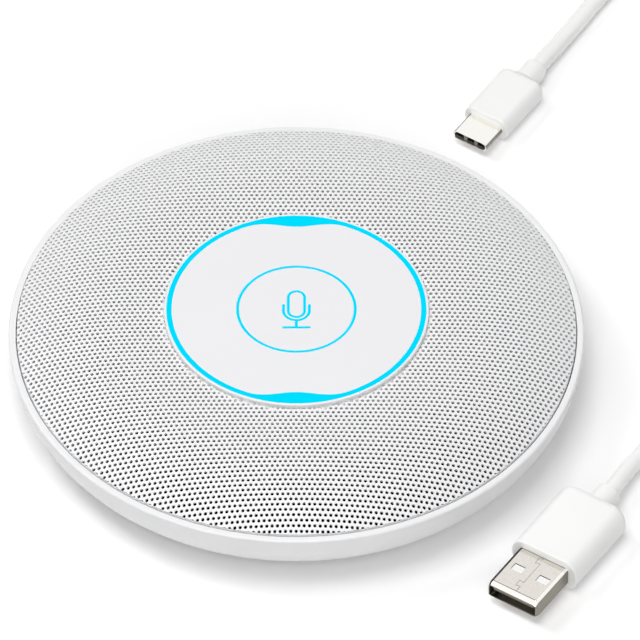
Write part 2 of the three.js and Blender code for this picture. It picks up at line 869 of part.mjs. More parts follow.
function plugShell(width, thickness, corner, length, middle) {
  const outer = bar(roundedBox(width, thickness, corner, 0, middle), 0, length);
  const innerCorner = Math.max(corner - plugWall, plugWall / 2);
  const mouth = roundedBox(width - 2 * plugWall, thickness - 2 * plugWall, innerCorner, 0, middle);
  return cut(outer, bar(mouth, -cutOverrun, length + cutOverrun - plugWall));
}

// The moulded grip with its neck and the recess that the shell sits in.
function plugGrip(grip, neck, shell) {
  const middle = grip.thickness / 2;
  const corner = middle * fullRoundShare;
  const end = shell.length + grip.length;
  const section = roundedBox(grip.width, grip.thickness, corner, 0, middle);
  const body = bar(section, shell.length, grip.length, arcSteps);
  const neckBody = turned([
    [0, -plugSunk],
    [neck.radius, -plugSunk],
    [neck.radius, neck.length - neckRound],
    [neck.radius - neckRound, neck.length],
    [0, neck.length],
  ], smallSteps).rotateY(Math.PI / 2).translate(end, 0, middle);
  const recessWidth = shell.width + 2 * looseGap;
  const recessHeight = shell.thickness + 2 * looseGap;
  const recessShape = roundedBox(recessWidth, recessHeight, shell.corner + looseGap, 0, middle);
  const recess = bar(recessShape, shell.length - cutOverrun, plugSunk + looseGap + cutOverrun);
  return cut(joined(body, neckBody), recess);
}

function makePlugC() {
  const group = plugGroup(plugCTip);
  const middle = gripCThickness / 2;
  const corner = (plugCThickness / 2) * fullRoundShare;
  const shellBody = plugShell(plugCWidth, plugCThickness, corner, plugCLength + plugSunk, middle);
  add('usb_c_shell', shellBody, materials.steel, group);
  const blockHeight = plugCThickness - 2 * plugWall - 2 * looseGap;
  const blockWidth = plugCWidth - 2 * plugWall - plugCThickness;
  const blockEnd = plugCLength + plugSunk - plugWall - seatGap;
  const blockStart = plugCLength;
  const contacts = block(
    blockEnd - blockStart, blockWidth, middle - blockHeight / 2, middle + blockHeight / 2,
    (blockStart + blockEnd) / 2);
  add('usb_c_contact_block', contacts, materials.chip, group);
  const shell = { width: plugCWidth, thickness: plugCThickness, corner, length: plugCLength };
  const grip = { width: gripCWidth, thickness: gripCThickness, length: gripCLength };
  const neck = { radius: neckCRadius, length: neckCLength };
  add('usb_c_grip', plugGrip(grip, neck, shell), materials.cord, group);
}

function makePlugA() {
  const group = plugGroup(plugATip);
  const middle = gripAThickness / 2;
  const top = middle + plugAThickness / 2;
  const bottom = middle - plugAThickness / 2;
  const shellBody = plugShell(plugAWidth, plugAThickness, plugACorner, plugALength + plugSunk, middle);
  const windows = [-1, 1].flatMap((side) => {
    const y = (side * windowSpacing) / 2;
    return [
      block(windowLength, windowWidth, top - plugWall * 2, top + cutOverrun, windowFromTip, y),
      block(windowLength, windowWidth, bottom - cutOverrun, bottom + plugWall * 2, windowFromTip, y),
    ];
  });
  add('usb_a_shell', cut(shellBody, ...windows), materials.steel, group);
  const insulatorTop = top - plugWall - seatGap;
  const insulatorBottom = insulatorTop - insulatorThickness;
  const insulatorEnd = plugALength + plugSunk - plugWall - seatGap;
  const insulatorWidth = plugAWidth - 2 * plugWall - 2 * looseGap;
  add('usb_a_insulator', block(insulatorEnd - insulatorSetback, insulatorWidth, insulatorBottom, insulatorTop,
    (insulatorSetback + insulatorEnd) / 2), materials.chip, group);
  for (let i = 0; i < contactCount; i += 1) {
    const y = (i - (contactCount - 1) / 2) * contactSpacing;
    const contactTop = insulatorBottom - seatGap;
    const contact = block(contactLength, contactWidth, contactTop - contactThickness, contactTop,
      insulatorEnd - contactLength / 2, y);
    add(`usb_a_contact_${i + 1}`, contact, materials.gold, group);
  }
  const shell = { width: plugAWidth, thickness: plugAThickness, corner: plugACorner, length: plugALength };
  const grip = { width: gripAWidth, thickness: gripAThickness, length: gripALength };
  const neck = { radius: neckARadius, length: neckALength };
  add('usb_a_grip', plugGrip(grip, neck, shell), materials.cord, group);
}

// Cable: a stretch from the USB-C plug, a coil of real loops, and a stretch to the USB-A plug

function neckEnd([tipX, tipY], length, height) {
  const [x, y] = polar(length, plugAngle);
  return new THREE.Vector3(tipX + x, tipY + y, height + floorGap);
}

const reachC = plugCLength + gripCLength + neckCLength;
const reachA = plugALength + gripALength + neckALength;
const endC = neckEnd(plugCTip, reachC + looseGap, gripCThickness / 2);
const endA = neckEnd(plugATip, reachA + looseGap, gripAThickness / 2);

// The stretch's points, after the one at the plug's neck and before the one at the coil.
const routeC = [
  [52.5, 91.6, 2.6],
  [55.3, 96.1, 2.1],
  [58.8, 101.8, cordRest],
  [62.4, 107.7, cordRest],
  [66.1, 113, cordRest],
  [70.5, 117.4, cordRest],
  [76, 120.7, cordRest],
  [82.5, 122.3, cordRest],
  [89, 122.6, 2],
  [95, 122.6, 2.4],
  [99.6, 122.6, 2.66],
];
const routeA = [
  [129.4, 89, 15.1],
  [129.2, 82.5, 13.6],
  [128.6, 75.5, 10.7],
  [127.4, 68, 7.1],
  [125.4, 60.5, 4.2],
  [122.6, 53.5, 2.5],
  [119, 46.5, 1.98],
  [114.6, 39, cordRest],
  [109, 30.3, cordRest],
  [102.6, 21, cordRest],
  [96, 11.8, cordRest],
  [89.4, 2.6, cordRest],
  [83, -6.4, cordRest],
  [77, -15.2, cordRest],
  [72, -23.1, 2.1],
  [68.2, -29.8, 3.1],
];

// Centre line of the coil: clockwise, in and out again at a steady rate, one layer for each run,
// climbing in the half turn where the run reverses.
function coilPoint(turn) {
  const layerTurns = coilTurns / coilLayers;
  const layer = Math.min(coilLayers - 1, Math.floor(turn / layerTurns));
  const within = turn / layerTurns - layer;
  const radius = layer % 2 === 0
    ? coilOuter - within * (coilOuter - coilInner)
    : coilInner + within * (coilOuter - coilInner);
  let height = 0;
  for (let reversal = 1; reversal < coilLayers; reversal += 1) {
    const start = reversal * layerTurns - layerClimb / 2;
    height += loopPitch * THREE.MathUtils.smoothstep(turn, start, start + layerClimb);
  }
  const angle = Math.PI / 2 - turn * 2 * Math.PI;
  const [x, y] = polar(radius, angle);
  return new THREE.Vector3(coilCentre[0] + x, coilCentre[1] + y, coilBase + height);
}

function coilLine() {
  const steps = Math.round(coilTurns * loopSteps);
  const points = Array.from({ length: steps + 1 }, (_, i) => coilPoint((i / steps) * coilTurns));
  const first = points[0].clone().add(new THREE.Vector3(-cordDiameter, 0, 0));
  const last = points[steps].clone().add(new THREE.Vector3(0, -cordDiameter, 0));
  return [first, ...points, last];
}

// One unbroken tube of flat-sided rings along a line of points, closed at both ends.
function tubeAlong(points, radius, sides) {
  const corners = [];
  const index = [];
  const up = new THREE.Vector3(0, 0, 1);
  points.forEach((point, i) => {
    const before = points[Math.max(i - 1, 0)];
    const after = points[Math.min(i + 1, points.length - 1)];
    const along = after.clone().sub(before).normalize();
    const across = along.clone().cross(up).normalize();
    const rise = across.clone().cross(along);
    for (const angle of ringAngles(sides, 0)) {
      const corner = point.clone()
        .addScaledVector(across, radius * Math.cos(angle))
        .addScaledVector(rise, radius * Math.sin(angle));
      corners.push(corner.x, corner.y, corner.z);
    }
  });
  for (let ring = 0; ring < points.length - 1; ring += 1) {
    for (let side = 0; side < sides; side += 1) {
      const next = (side + 1) % sides;
      const [a, b] = [ring * sides + side, ring * sides + next];
      index.push(a, b, b + sides, a, b + sides, a + sides);
    }
  }
  const lastRing = (points.length - 1) * sides;
  for (let side = 1; side < sides - 1; side += 1) {
    index.push(0, side + 1, side, lastRing, lastRing + side, lastRing + side + 1);
  }
  const geometry = new THREE.BufferGeometry();
  geometry.setAttribute('position', new THREE.Float32BufferAttribute(corners, 3));
  geometry.setIndex(index);
  return geometry;
}

function cordTube(points) {
  const curve = new THREE.CatmullRomCurve3(points, false, 'centripetal');
  const steps = Math.round(curve.getLength() / (stepLengthShare * cordDiameter));
  const section = new THREE.Shape();
  section.absarc(0, 0, cordRadius, 0, 2 * Math.PI, false);
  const settings = { steps, extrudePath: curve, curveSegments: cordSides / 2, bevelEnabled: false };
  return { geometry: new THREE.ExtrudeGeometry(section, settings), length: curve.getLength() };
}

function lineLength(points) {
  return points.slice(1).reduce((sum, point, i) => sum + point.distanceTo(points[i]), 0);
}

// Least distance between parts of the line that are more than half a loop apart.
function leastSelfGap(line, apart) {
  const curve = new THREE.CatmullRomCurve3(line);
  const points = curve.getSpacedPoints(Math.round(curve.getLength() / gapCheckStep));
  const skip = Math.ceil(apart / points[0].distanceTo(points[1]));
  let least = Infinity;
  for (let i = 0; i < points.length; i += 1) {
    for (let j = i + skip; j < points.length; j += 1) {
      least = Math.min(least, points[i].distanceTo(points[j]));
    }
  }
  return least - cordDiameter;
}

function makeCable() {
  const line = coilLine();
  const joinC = line[0].clone().add(new THREE.Vector3(-looseGap, 0, 0));
  const joinA = line[line.length - 1].clone().add(new THREE.Vector3(0, -looseGap, 0));
  const runC = cordTube([endC, ...routeC.map((point) => new THREE.Vector3(...point)), joinC]);
  const runA = cordTube([joinA, ...routeA.map((point) => new THREE.Vector3(...point)), endA]);
  add('cable_c_run', runC.geometry, materials.cord);
  add('cable_coil', tubeAlong(line, cordRadius, loopSides), materials.cord);
  add('cable_a_run', runA.geometry, materials.cord);
  const gap = leastSelfGap(line, coilInner * Math.PI);
  const length = runC.length + lineLength(line) + runA.length;
  console.log(`coil: least gap to itself ${gap.toFixed(2)} mm, ${coilTurns} turns`);
  const runs = [runC, runA].map((run) => run.length.toFixed(0)).join(' and ');
  console.log(`cable: ${length.toFixed(0)} mm long, runs ${runs} mm`);
}

// Least and greatest distance from the coil's middle to the cord's axis under the tie.
function radiiUnderTie() {
  const radii = coilLine()
    .map((point) => [point.x - coilCentre[0], point.y - coilCentre[1]])
    .filter(([x, y]) => Math.abs(x * Math.sin(tieAngle) - y * Math.cos(tieAngle)) < tieWidth)
    .filter(([x, y]) => x * Math.cos(tieAngle) + y * Math.sin(tieAngle) > 0)
    .map(([x, y]) => Math.hypot(x, y));
  return [Math.min(...radii), Math.max(...radii)];
}

// A flat strap round the coil's bundle.
function makeTie() {
  const [least, greatest] = radiiUnderTie();
  const bendRoom = greatest - Math.sqrt(greatest ** 2 - (tieWidth / 2) ** 2);
  const bundleWidth = greatest - least + cordDiameter + 2 * looseGap + 2 * bendRoom;
  const bundleHeight = coilTop - coilBase + cordDiameter + 2 * looseGap;
  const middle = floorGap + tieThickness + bundleHeight / 2;
  const corner = cordRadius + tieThickness;
  const outline = roundedBox(
    bundleWidth + 2 * tieThickness, bundleHeight + 2 * tieThickness, corner, 0, middle);
  outline.holes.push(roundedBox(bundleWidth, bundleHeight, corner - tieThickness, 0, middle));
  const strap = bar(outline, -tieWidth / 2, tieWidth);
  const group = new THREE.Group();
  const [x, y] = polar((least + greatest) / 2 - bendRoom / 2, tieAngle);
  group.position.set(coilCentre[0] + x, coilCentre[1] + y, 0);
  group.rotation.z = tieAngle + Math.PI / 2;
  part.add(group);
  add('cable_tie', strap, materials.rubber, group);
}

makeHousing();
makeFootRing();
makeGrille();
makeCloth();
makeFrame();
makeBezel();
makeLightRing();
makePanel();
makeHalo();
makeKey();
makeLightBoard();
makeSwitch();
makeMainBoard();
makeSocket();
makeMicrophones();
makeScrews();
makePlugC();
makePlugA();
makeCable();
makeTie();

export default part;
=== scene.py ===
"""Conference microphone with a perforated dome, a lit centre and its detachable USB cable.

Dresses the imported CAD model. Lengths in this file are millimetres until MM turns them to metres.
"""

import math

import bmesh
import bpy
from mathutils import Matrix, Vector


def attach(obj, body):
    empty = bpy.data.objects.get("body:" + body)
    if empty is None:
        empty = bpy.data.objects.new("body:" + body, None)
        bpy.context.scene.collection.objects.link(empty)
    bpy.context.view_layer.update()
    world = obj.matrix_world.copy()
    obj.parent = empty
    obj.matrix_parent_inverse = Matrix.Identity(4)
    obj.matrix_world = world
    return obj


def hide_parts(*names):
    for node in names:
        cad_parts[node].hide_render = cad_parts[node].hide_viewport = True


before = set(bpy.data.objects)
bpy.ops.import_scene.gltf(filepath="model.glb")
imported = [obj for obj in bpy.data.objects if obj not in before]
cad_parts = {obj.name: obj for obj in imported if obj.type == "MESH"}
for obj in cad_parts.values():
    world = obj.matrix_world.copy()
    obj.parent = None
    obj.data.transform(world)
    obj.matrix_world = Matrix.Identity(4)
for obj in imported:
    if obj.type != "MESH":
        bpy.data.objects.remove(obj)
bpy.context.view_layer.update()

bl_info = {
    "name": "Conference Microphone",
    "version": (1, 0, 0),
    "blender": (4, 5, 0),
    "location": "3D View > Sidebar > Microphone",
    "description": "Builds a domed conference microphone and its cable round its CAD model",
    "category": "Add Mesh",
}

MM = 0.001
BODY = "microphone"
KEY = "key"

# Heights and radii that pieces share, the same as in the CAD source

LIP_TOP = 14.5
LEDGE_TOP = 11.8
FLOOR_TOP = 3.2
FOOT_STAND = 1.0
WALL = 2.2
SEAT_TOP = 1.6
PANEL_TOP = 21.5
PANEL_UNDERSIDE = 19.9
LIGHT_BOTTOM = 16.7
BEZEL_BOTTOM = 18.1
EDGE_TOP = 14.4
DOME_RISE = 5.85
DOME_POWER = 2.75
LIGHT_OUTER = 27.05
LOBE_HALF_ANGLE = math.radians(23)
HALO_INNER = 11.96
HALO_OUTER = 12.55
GRILLE_INNER = 27.9
GRILLE_OUTER = 58.3
PILLAR_PLACE = 37.0
BOARD_SCREW_PLACE = 26.0
SOCKET_MIDDLE = 7.2
SOCKET_FACE = 53.06

# Gap between faces that would otherwise lie in each other
FACE_GAP = 0.01
MERGE_WITHIN = 0.002
ROUND_STEPS = 240
SMALL_STEPS = 48


# Sizes and colours that a user would change


def length(name, millimetres, description):
    return bpy.props.FloatProperty(
        name=name, description=description, default=millimetres * MM, unit="LENGTH", precision=5)


def linear(code):
    """An sRGB hex value as linear red, green and blue."""
    shares = [int(code[i:i + 2], 16) / 255 for i in (0, 2, 4)]
    return [s / 12.92 if s <= 0.04045 else ((s + 0.055) / 1.055) ** 2.4 for s in shares]


def colour(name, code, description):
    return bpy.props.FloatVectorProperty(
        name=name, description=description, default=linear(code), size=3, subtype="COLOR",
        min=0.0, max=1.0)


class MicrophoneSizes(bpy.types.PropertyGroup):
    body_radius: length("Body radius", 60, "Radius of the housing at its lip")
    lip_width: length("Lip width", 1.5, "Width of the flat lip round the grille")
    side_reach: length("Side reach", 12, "How far the bowl's side leans out over its height")
    hole_pitch: length("Hole pitch", 1.1005, "Distance between the grille's holes and rows")
    hole_diameter: length("Hole diameter", 0.72, "Diameter of the grille's holes")
    sheet: length("Grille sheet", 0.45, "Thickness of the grille's perforated sheet")
    edge_roll: length("Edge roll", 0.3, "Radius of the grille's rolled inner edge")
    light_width: length("Light width", 1.06, "Width of the light ring beside its lobes")
    lobe_depth: length("Lobe depth", 2.13, "How far the light ring's two lobes reach in")
    line_width: length("Line width", 0.6, "Line width of the pictogram")
    cord_diameter: length("Cord diameter", 3.7, "Diameter of the cable")


class MicrophoneColours(bpy.types.PropertyGroup):
    housing: colour("Housing", "F1F1F2", "White moulded plastic of the bowl and the bezel")
    grille: colour("Grille", "F2F2F3", "White powder coat of the perforated sheet")
    panel: colour("Panel", "EEEEF1", "Pale satin plastic of the panel and the key")
    light: colour("Light", "00DEFF", "Glow of the light ring, the halo and the pictogram")
    cord: colour("Cord", "FAFAF9", "White jacket of the cable")
    plug: colour("Plug metal", "E6E2DB", "Nickel plate of the plugs' shells")


# Modelling helpers


def deselect_all():
    if bpy.context.mode != "OBJECT":
        bpy.ops.object.mode_set(mode="OBJECT")
    bpy.ops.object.select_all(action="DESELECT")


def select(piece):
    deselect_all()
    piece.select_set(True)
    bpy.context.view_layer.objects.active = piece


def select_faces(piece, wanted):
    """Opens a piece in edit mode with the faces selected that a test wants."""
    select(piece)
    bpy.ops.object.mode_set(mode="EDIT")
    bpy.ops.mesh.select_mode(type="FACE")
    bpy.ops.mesh.select_all(action="DESELECT")
    mesh = bmesh.from_edit_mesh(piece.data)
    for face in mesh.faces:
        face.select = wanted(face)
    bmesh.update_edit_mesh(piece.data)


def apply_modifier(piece, kind, **settings):
    """Adds a modifier to the active piece and applies it."""
    modifier = piece.modifiers.new(kind.lower(), kind)
    for key, value in settings.items():
        setattr(modifier, key, value)
    bpy.ops.object.modifier_apply(modifier=modifier.name)


def polar(radius, angle, height=0.0):
    return Vector((radius * math.cos(angle), radius * math.sin(angle), height))


def turns(count, first=0.0):
    """Angles of things that stand evenly round the middle."""
    return [first + i * math.tau / count for i in range(count)]


def arc(centre, radius, start, end, steps):
    """Profile points on a round, by angle in degrees, both ends included."""
    angles = [math.radians(start + (end - start) * i / steps) for i in range(steps + 1)]
    return [(centre[0] + radius * math.cos(a), centre[1] + radius * math.sin(a)) for a in angles]


def rectangle(x_ends, y_ends):
    """The corners of a rectangle, once round."""
    (left, right), (near, far) = x_ends, y_ends
    return [(left, near), (right, near), (right, far), (left, far)]


def box_outline(x, width, height, side, rise, steps=8):
    """A rounded rectangle across X, with corners side wide and rise high."""
    outline = []
    for quarter in range(4):
        sign_y = 1 if quarter in (0, 3) else -1
        sign_z = 1 if quarter in (0, 1) else -1
        for i in range(steps + 1):
            angle = math.pi / 2 * (quarter + i / steps)
            y = sign_y * (width / 2 - side) + side * math.cos(angle)
            z = sign_z * (height / 2 - rise) + rise * math.sin(angle)
            outline.append((x, y, z))
    return outline


def port_outline(distance, width, height, corner, steps=8):
    """A rounded rectangle round the socket's axis, at a distance behind the middle."""
    outline = box_outline(distance, width, height, corner, corner, steps)
    return [Vector((-y, x, SOCKET_MIDDLE + z)) for x, y, z in outline]


def tidy_mesh(piece):
    """Merges doubled vertices and turns the faces outwards."""
    bpy.ops.mesh.select_all(action="SELECT")
    bpy.ops.mesh.remove_doubles(threshold=MERGE_WITHIN * MM)
    bpy.ops.mesh.normals_make_consistent(inside=False)
    bpy.ops.object.mode_set(mode="OBJECT")


def lofted(name, outlines, closed=False):
    """Extrudes a loop of edges from outline to outline, which all have as many points.

    An open body is filled at both ends. A closed one comes back to its first outline.
    """
    deselect_all()
    bpy.ops.mesh.primitive_circle_add(vertices=len(outlines[0]), radius=MM)
    piece = bpy.context.object
    piece.name = piece.data.name = name
    bpy.ops.object.mode_set(mode="EDIT")
    mesh = bmesh.from_edit_mesh(piece.data)
    number = mesh.verts.layers.int.new("number")
    for i, vertex in enumerate(mesh.verts):
        vertex[number] = i
    stations = outlines + outlines[:1] if closed else outlines
    for i, outline in enumerate(stations):
        if i:
            bpy.ops.mesh.extrude_edges_move()
            mesh = bmesh.from_edit_mesh(piece.data)
            number = mesh.verts.layers.int["number"]
        for vertex in mesh.verts:
            if vertex.select:
                vertex.co = Vector(outline[vertex[number]]) * MM
        bmesh.update_edit_mesh(piece.data)
        if not closed and i in (0, len(stations) - 1):
            bpy.ops.mesh.edge_face_add()
    tidy_mesh(piece)
    piece.data.attributes.remove(piece.data.attributes["number"])
    return piece


def turned(name, profile, closed=True, steps=ROUND_STEPS, middle=(0, 0)):
    """A piece round Z. Its profile is radii and heights, and a radius may go by the angle."""
    outlines = []
    for radius, height in profile:
        reach = radius if callable(radius) else lambda angle, reach=radius: reach
        outlines.append([polar(reach(a), a, height) + Vector((*middle, 0)) for a in turns(steps)])
    return lofted(name, outlines, closed)


def posts(name, profile, place, angles):
    """The same round post at each angle, all at one distance from the middle."""
    return [turned(name, profile, False, SMALL_STEPS, polar(place, angle)[:2]) for angle in angles]


def poly_curve(name, routes, cyclic, **settings):
    """Straight stretches as a selected curve object."""
    curve = bpy.data.curves.new(name, "CURVE")
    for key, value in settings.items():
        setattr(curve, key, value)
    for route in routes:
        spline = curve.splines.new("POLY")
        spline.points.add(len(route) - 1)
        for point, place in zip(spline.points, route):
            point.co = (*(Vector(place) * MM), 1)
        spline.use_cyclic_u = cyclic
    piece = bpy.data.objects.new(name, curve)
    bpy.context.collection.objects.link(piece)
    select(piece)
    return piece


def flat_shape(name, outlines, bottom, top):
    """Fills flat outlines, of which the inner ones are holes, and makes them thick."""
    flat = [[(x, y, 0) for x, y in outline] for outline in outlines]
    piece = poly_curve(
        name, flat, True, dimensions="2D", fill_mode="BOTH", extrude=(top - bottom) / 2 * MM)
    piece.location.z = (top + bottom) / 2 * MM
    bpy.ops.object.convert(target="MESH")
    bpy.ops.object.transform_apply(location=True, rotation=True, scale=True)
    bpy.ops.object.mode_set(mode="EDIT")
    tidy_mesh(piece)
    return piece


def boolean(piece, operation, *tools):
    """Cuts tools out of a piece or joins them on, and removes them."""
    for tool in tools:
        select(piece)
        apply_modifier(piece, "BOOLEAN", operation=operation, solver="EXACT", object=tool)
        bpy.data.objects.remove(tool)


def joined(name, *pieces):
    """Several shapes as one object."""
    deselect_all()
    for piece in pieces:
        piece.select_set(True)
    bpy.context.view_layer.objects.active = pieces[0]
    bpy.ops.object.join()
    pieces[0].name = pieces[0].data.name = name
    return pieces[0]


def dress(piece, material, body, slot, *nodes, smooth=32):
    """Gives a finished piece its material and ties it to its CAD body.

    Edges that turn by less than smooth degrees are shaded smooth.
    """
    select(piece)
    bpy.ops.object.shade_smooth_by_angle(angle=math.radians(smooth))
    apply_modifier(piece, "WEIGHTED_NORMAL", keep_sharp=True)
    piece.data.materials.clear()
    piece.data.materials.append(bpy.data.materials[material])
    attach(piece, body)
    if nodes:
        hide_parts(*nodes)
    return piece


# Shape functions that pieces share


def side_radius(height, inset=0.0):
    """Radius of the bowl's side at a height: a quarter of an ellipse."""
    sizes = bpy.context.scene.microphone_sizes
    reach = sizes.side_reach / MM - inset
    drop = (LIP_TOP - height) / (LIP_TOP - FOOT_STAND - inset)
    outer = sizes.body_radius / MM
    return outer - sizes.side_reach / MM + reach * math.sqrt(max(0.0, 1 - drop * drop))


def dome_top(radius):
    """Height of the grille's outside at a radius."""
    share = min(max((radius - GRILLE_INNER) / (GRILLE_OUTER - GRILLE_INNER), 0), 1)
    return EDGE_TOP + DOME_RISE * (1 - share ** DOME_POWER)


def light_edge(angle):
    """Inner edge of the light ring: a circle with a lobe reaching in at the back and front."""
    sizes = bpy.context.scene.microphone_sizes
    inner = LIGHT_OUTER - sizes.light_width / MM
    off_axis = math.asin(min(1.0, abs(math.cos(angle)))) / LOBE_HALF_ANGLE
    if off_axis > 1:
        return inner
    return inner - sizes.lobe_depth / MM * math.cos(off_axis * math.pi / 2) ** 2


# Materials


def node(material, kind, settings=None, links=None):
    """Adds a shader node. Settings and links go by the name or number of an input."""
    new = material.node_tree.nodes.new(kind)
    for key, value in (settings or {}).items():
        if isinstance(key, int) or key in new.inputs:
            new.inputs[key].default_value = value
        else:
            setattr(new, key, value)
    for key, socket in (links or {}).items():
        material.node_tree.links.new(new.inputs[key], socket)
    return new


def new_material(name):
    """A material, its shader, and the place on the piece that its patterns go by."""
    material = bpy.data.materials.new(name)
    material.use_nodes = True
    place = node(material, "ShaderNodeTexCoord").outputs["Object"]
    return material, material.node_tree.nodes["Principled BSDF"], {"Vector": place}


def fit(material, shader, sockets):
    """Links sockets to the shader's inputs, and sets the inputs that have a plain value."""
    for name, value in sockets.items():
        if isinstance(value, bpy.types.NodeSocket):
            material.node_tree.links.new(shader.inputs[name], value)
        else:
            shader.inputs[name].default_value = value


def finish(name, tint, roughness, grain, depth, mottle=0.03, **settings):
    """A surface with a grain of a real size in millimetres.

    Its colour and roughness drift a little over the piece, and the grain stands up by depth.
    """
    drift_size, gloss_spread = 18, 0.12
    # The drift seldom reaches its darkest, so that lies four mottles down
    darkest = 1 - 4 * mottle
    material, shader, place = new_material(name)
    drift = node(material, "ShaderNodeTexNoise", {"Scale": 1 / (drift_size * MM), "Detail": 3.0}, place)
    fine = node(material, "ShaderNodeTexNoise", {"Scale": 1 / (grain * MM), "Detail": 2.0}, place)
    both = node(material, "ShaderNodeMath", {"operation": "MULTIPLY"},
                {0: drift.outputs["Fac"], 1: fine.outputs["Fac"]})
    share = node(material, "ShaderNodeMapRange", {"From Min": 0.1, "From Max": 0.4},
                 {"Value": both.outputs[0]})
    gloss = node(material, "ShaderNodeMapRange",
                 {"To Min": roughness * (1 - gloss_spread), "To Max": roughness * (1 + gloss_spread)},
                 {"Value": fine.outputs["Fac"]})
    dark = [c * darkest for c in tint]
    shade = node(material, "ShaderNodeMix", {"data_type": "RGBA", 6: (*dark, 1), 7: (*tint, 1)},
                 {0: share.outputs[0]})
    bump = node(material, "ShaderNodeBump", {"Strength": 1.0, "Distance": depth * MM},
                {"Height": fine.outputs["Fac"]})
    fit(material, shader, {"Base Color": shade.outputs[2], "Roughness": gloss.outputs[0],
                           "Normal": bump.outputs[0], **settings})
    return material, shader, place


def woven(name, tint, pitch, roughness):
    """Plain weave: two sets of threads over and under each other, pitch apart."""
    # A wave texture's phase grows by 20 radians a unit
    phase_rate, between_threads = 20, 0.4
    material, shader, place = new_material(name)
    threads = [
        node(material, "ShaderNodeTexWave",
             {"bands_direction": axis, "Scale": math.tau / (phase_rate * pitch * MM),
              "Distortion": 0.4}, place)
        for axis in ("X", "Y")
    ]
    over = node(material, "ShaderNodeMath", {"operation": "MAXIMUM"},
                {0: threads[0].outputs["Fac"], 1: threads[1].outputs["Fac"]})
    dark = [c * between_threads for c in tint]
    shade = node(material, "ShaderNodeMix", {"data_type": "RGBA", 6: (*dark, 1), 7: (*tint, 1)},
                 {0: over.outputs[0]})
    bump = node(material, "ShaderNodeBump", {"Strength": 1.0, "Distance": pitch / 4 * MM},
                {"Height": over.outputs[0]})
    fit(material, shader, {"Base Color": shade.outputs[2], "Normal": bump.outputs[0],
                           "Roughness": roughness, "Specular IOR Level": 0.2})


def glowing(name, tint):
    """Diffusing acrylic lit from inside: an even glow that drifts by three hundredths."""
    drift_size, unlit, dimmest = 9, 0.02, 0.97
    material, shader, place = finish(
        name, [c * unlit for c in tint], 0.7, 0.3, 0.002, **{"Specular IOR Level": 0.0})
    drift = node(material, "ShaderNodeTexNoise", {"Scale": 1 / (drift_size * MM)}, place)
    dim = [c * dimmest for c in tint]
    glow = node(material, "ShaderNodeMix", {"data_type": "RGBA", 6: (*dim, 1), 7: (*tint, 1)},
                {0: drift.outputs["Fac"]})
    fit(material, shader, {"Emission Color": glow.outputs[2], "Emission Strength": 1.0})


def circuit_board(name, tint):
    """Solder resist over copper: tracks show as slightly lighter lines, 1 mm apart."""
    brick, between_tracks, track = 4, 0.85, 1.7
    material, shader, place = finish(name, tint, 0.35, 0.2, 0.002, **{"Coat Weight": 0.3})
    tracks = node(material, "ShaderNodeTexBrick",
                  {"Scale": 1 / (brick * MM), "Mortar Size": 0.03, "offset": 0.37,
                   "Color1": (*tint, 1), "Color2": (*[c * between_tracks for c in tint], 1),
                   "Mortar": (*[min(1, c * track) for c in tint], 1)}, place)
    fit(material, shader, {"Base Color": tracks.outputs["Color"]})


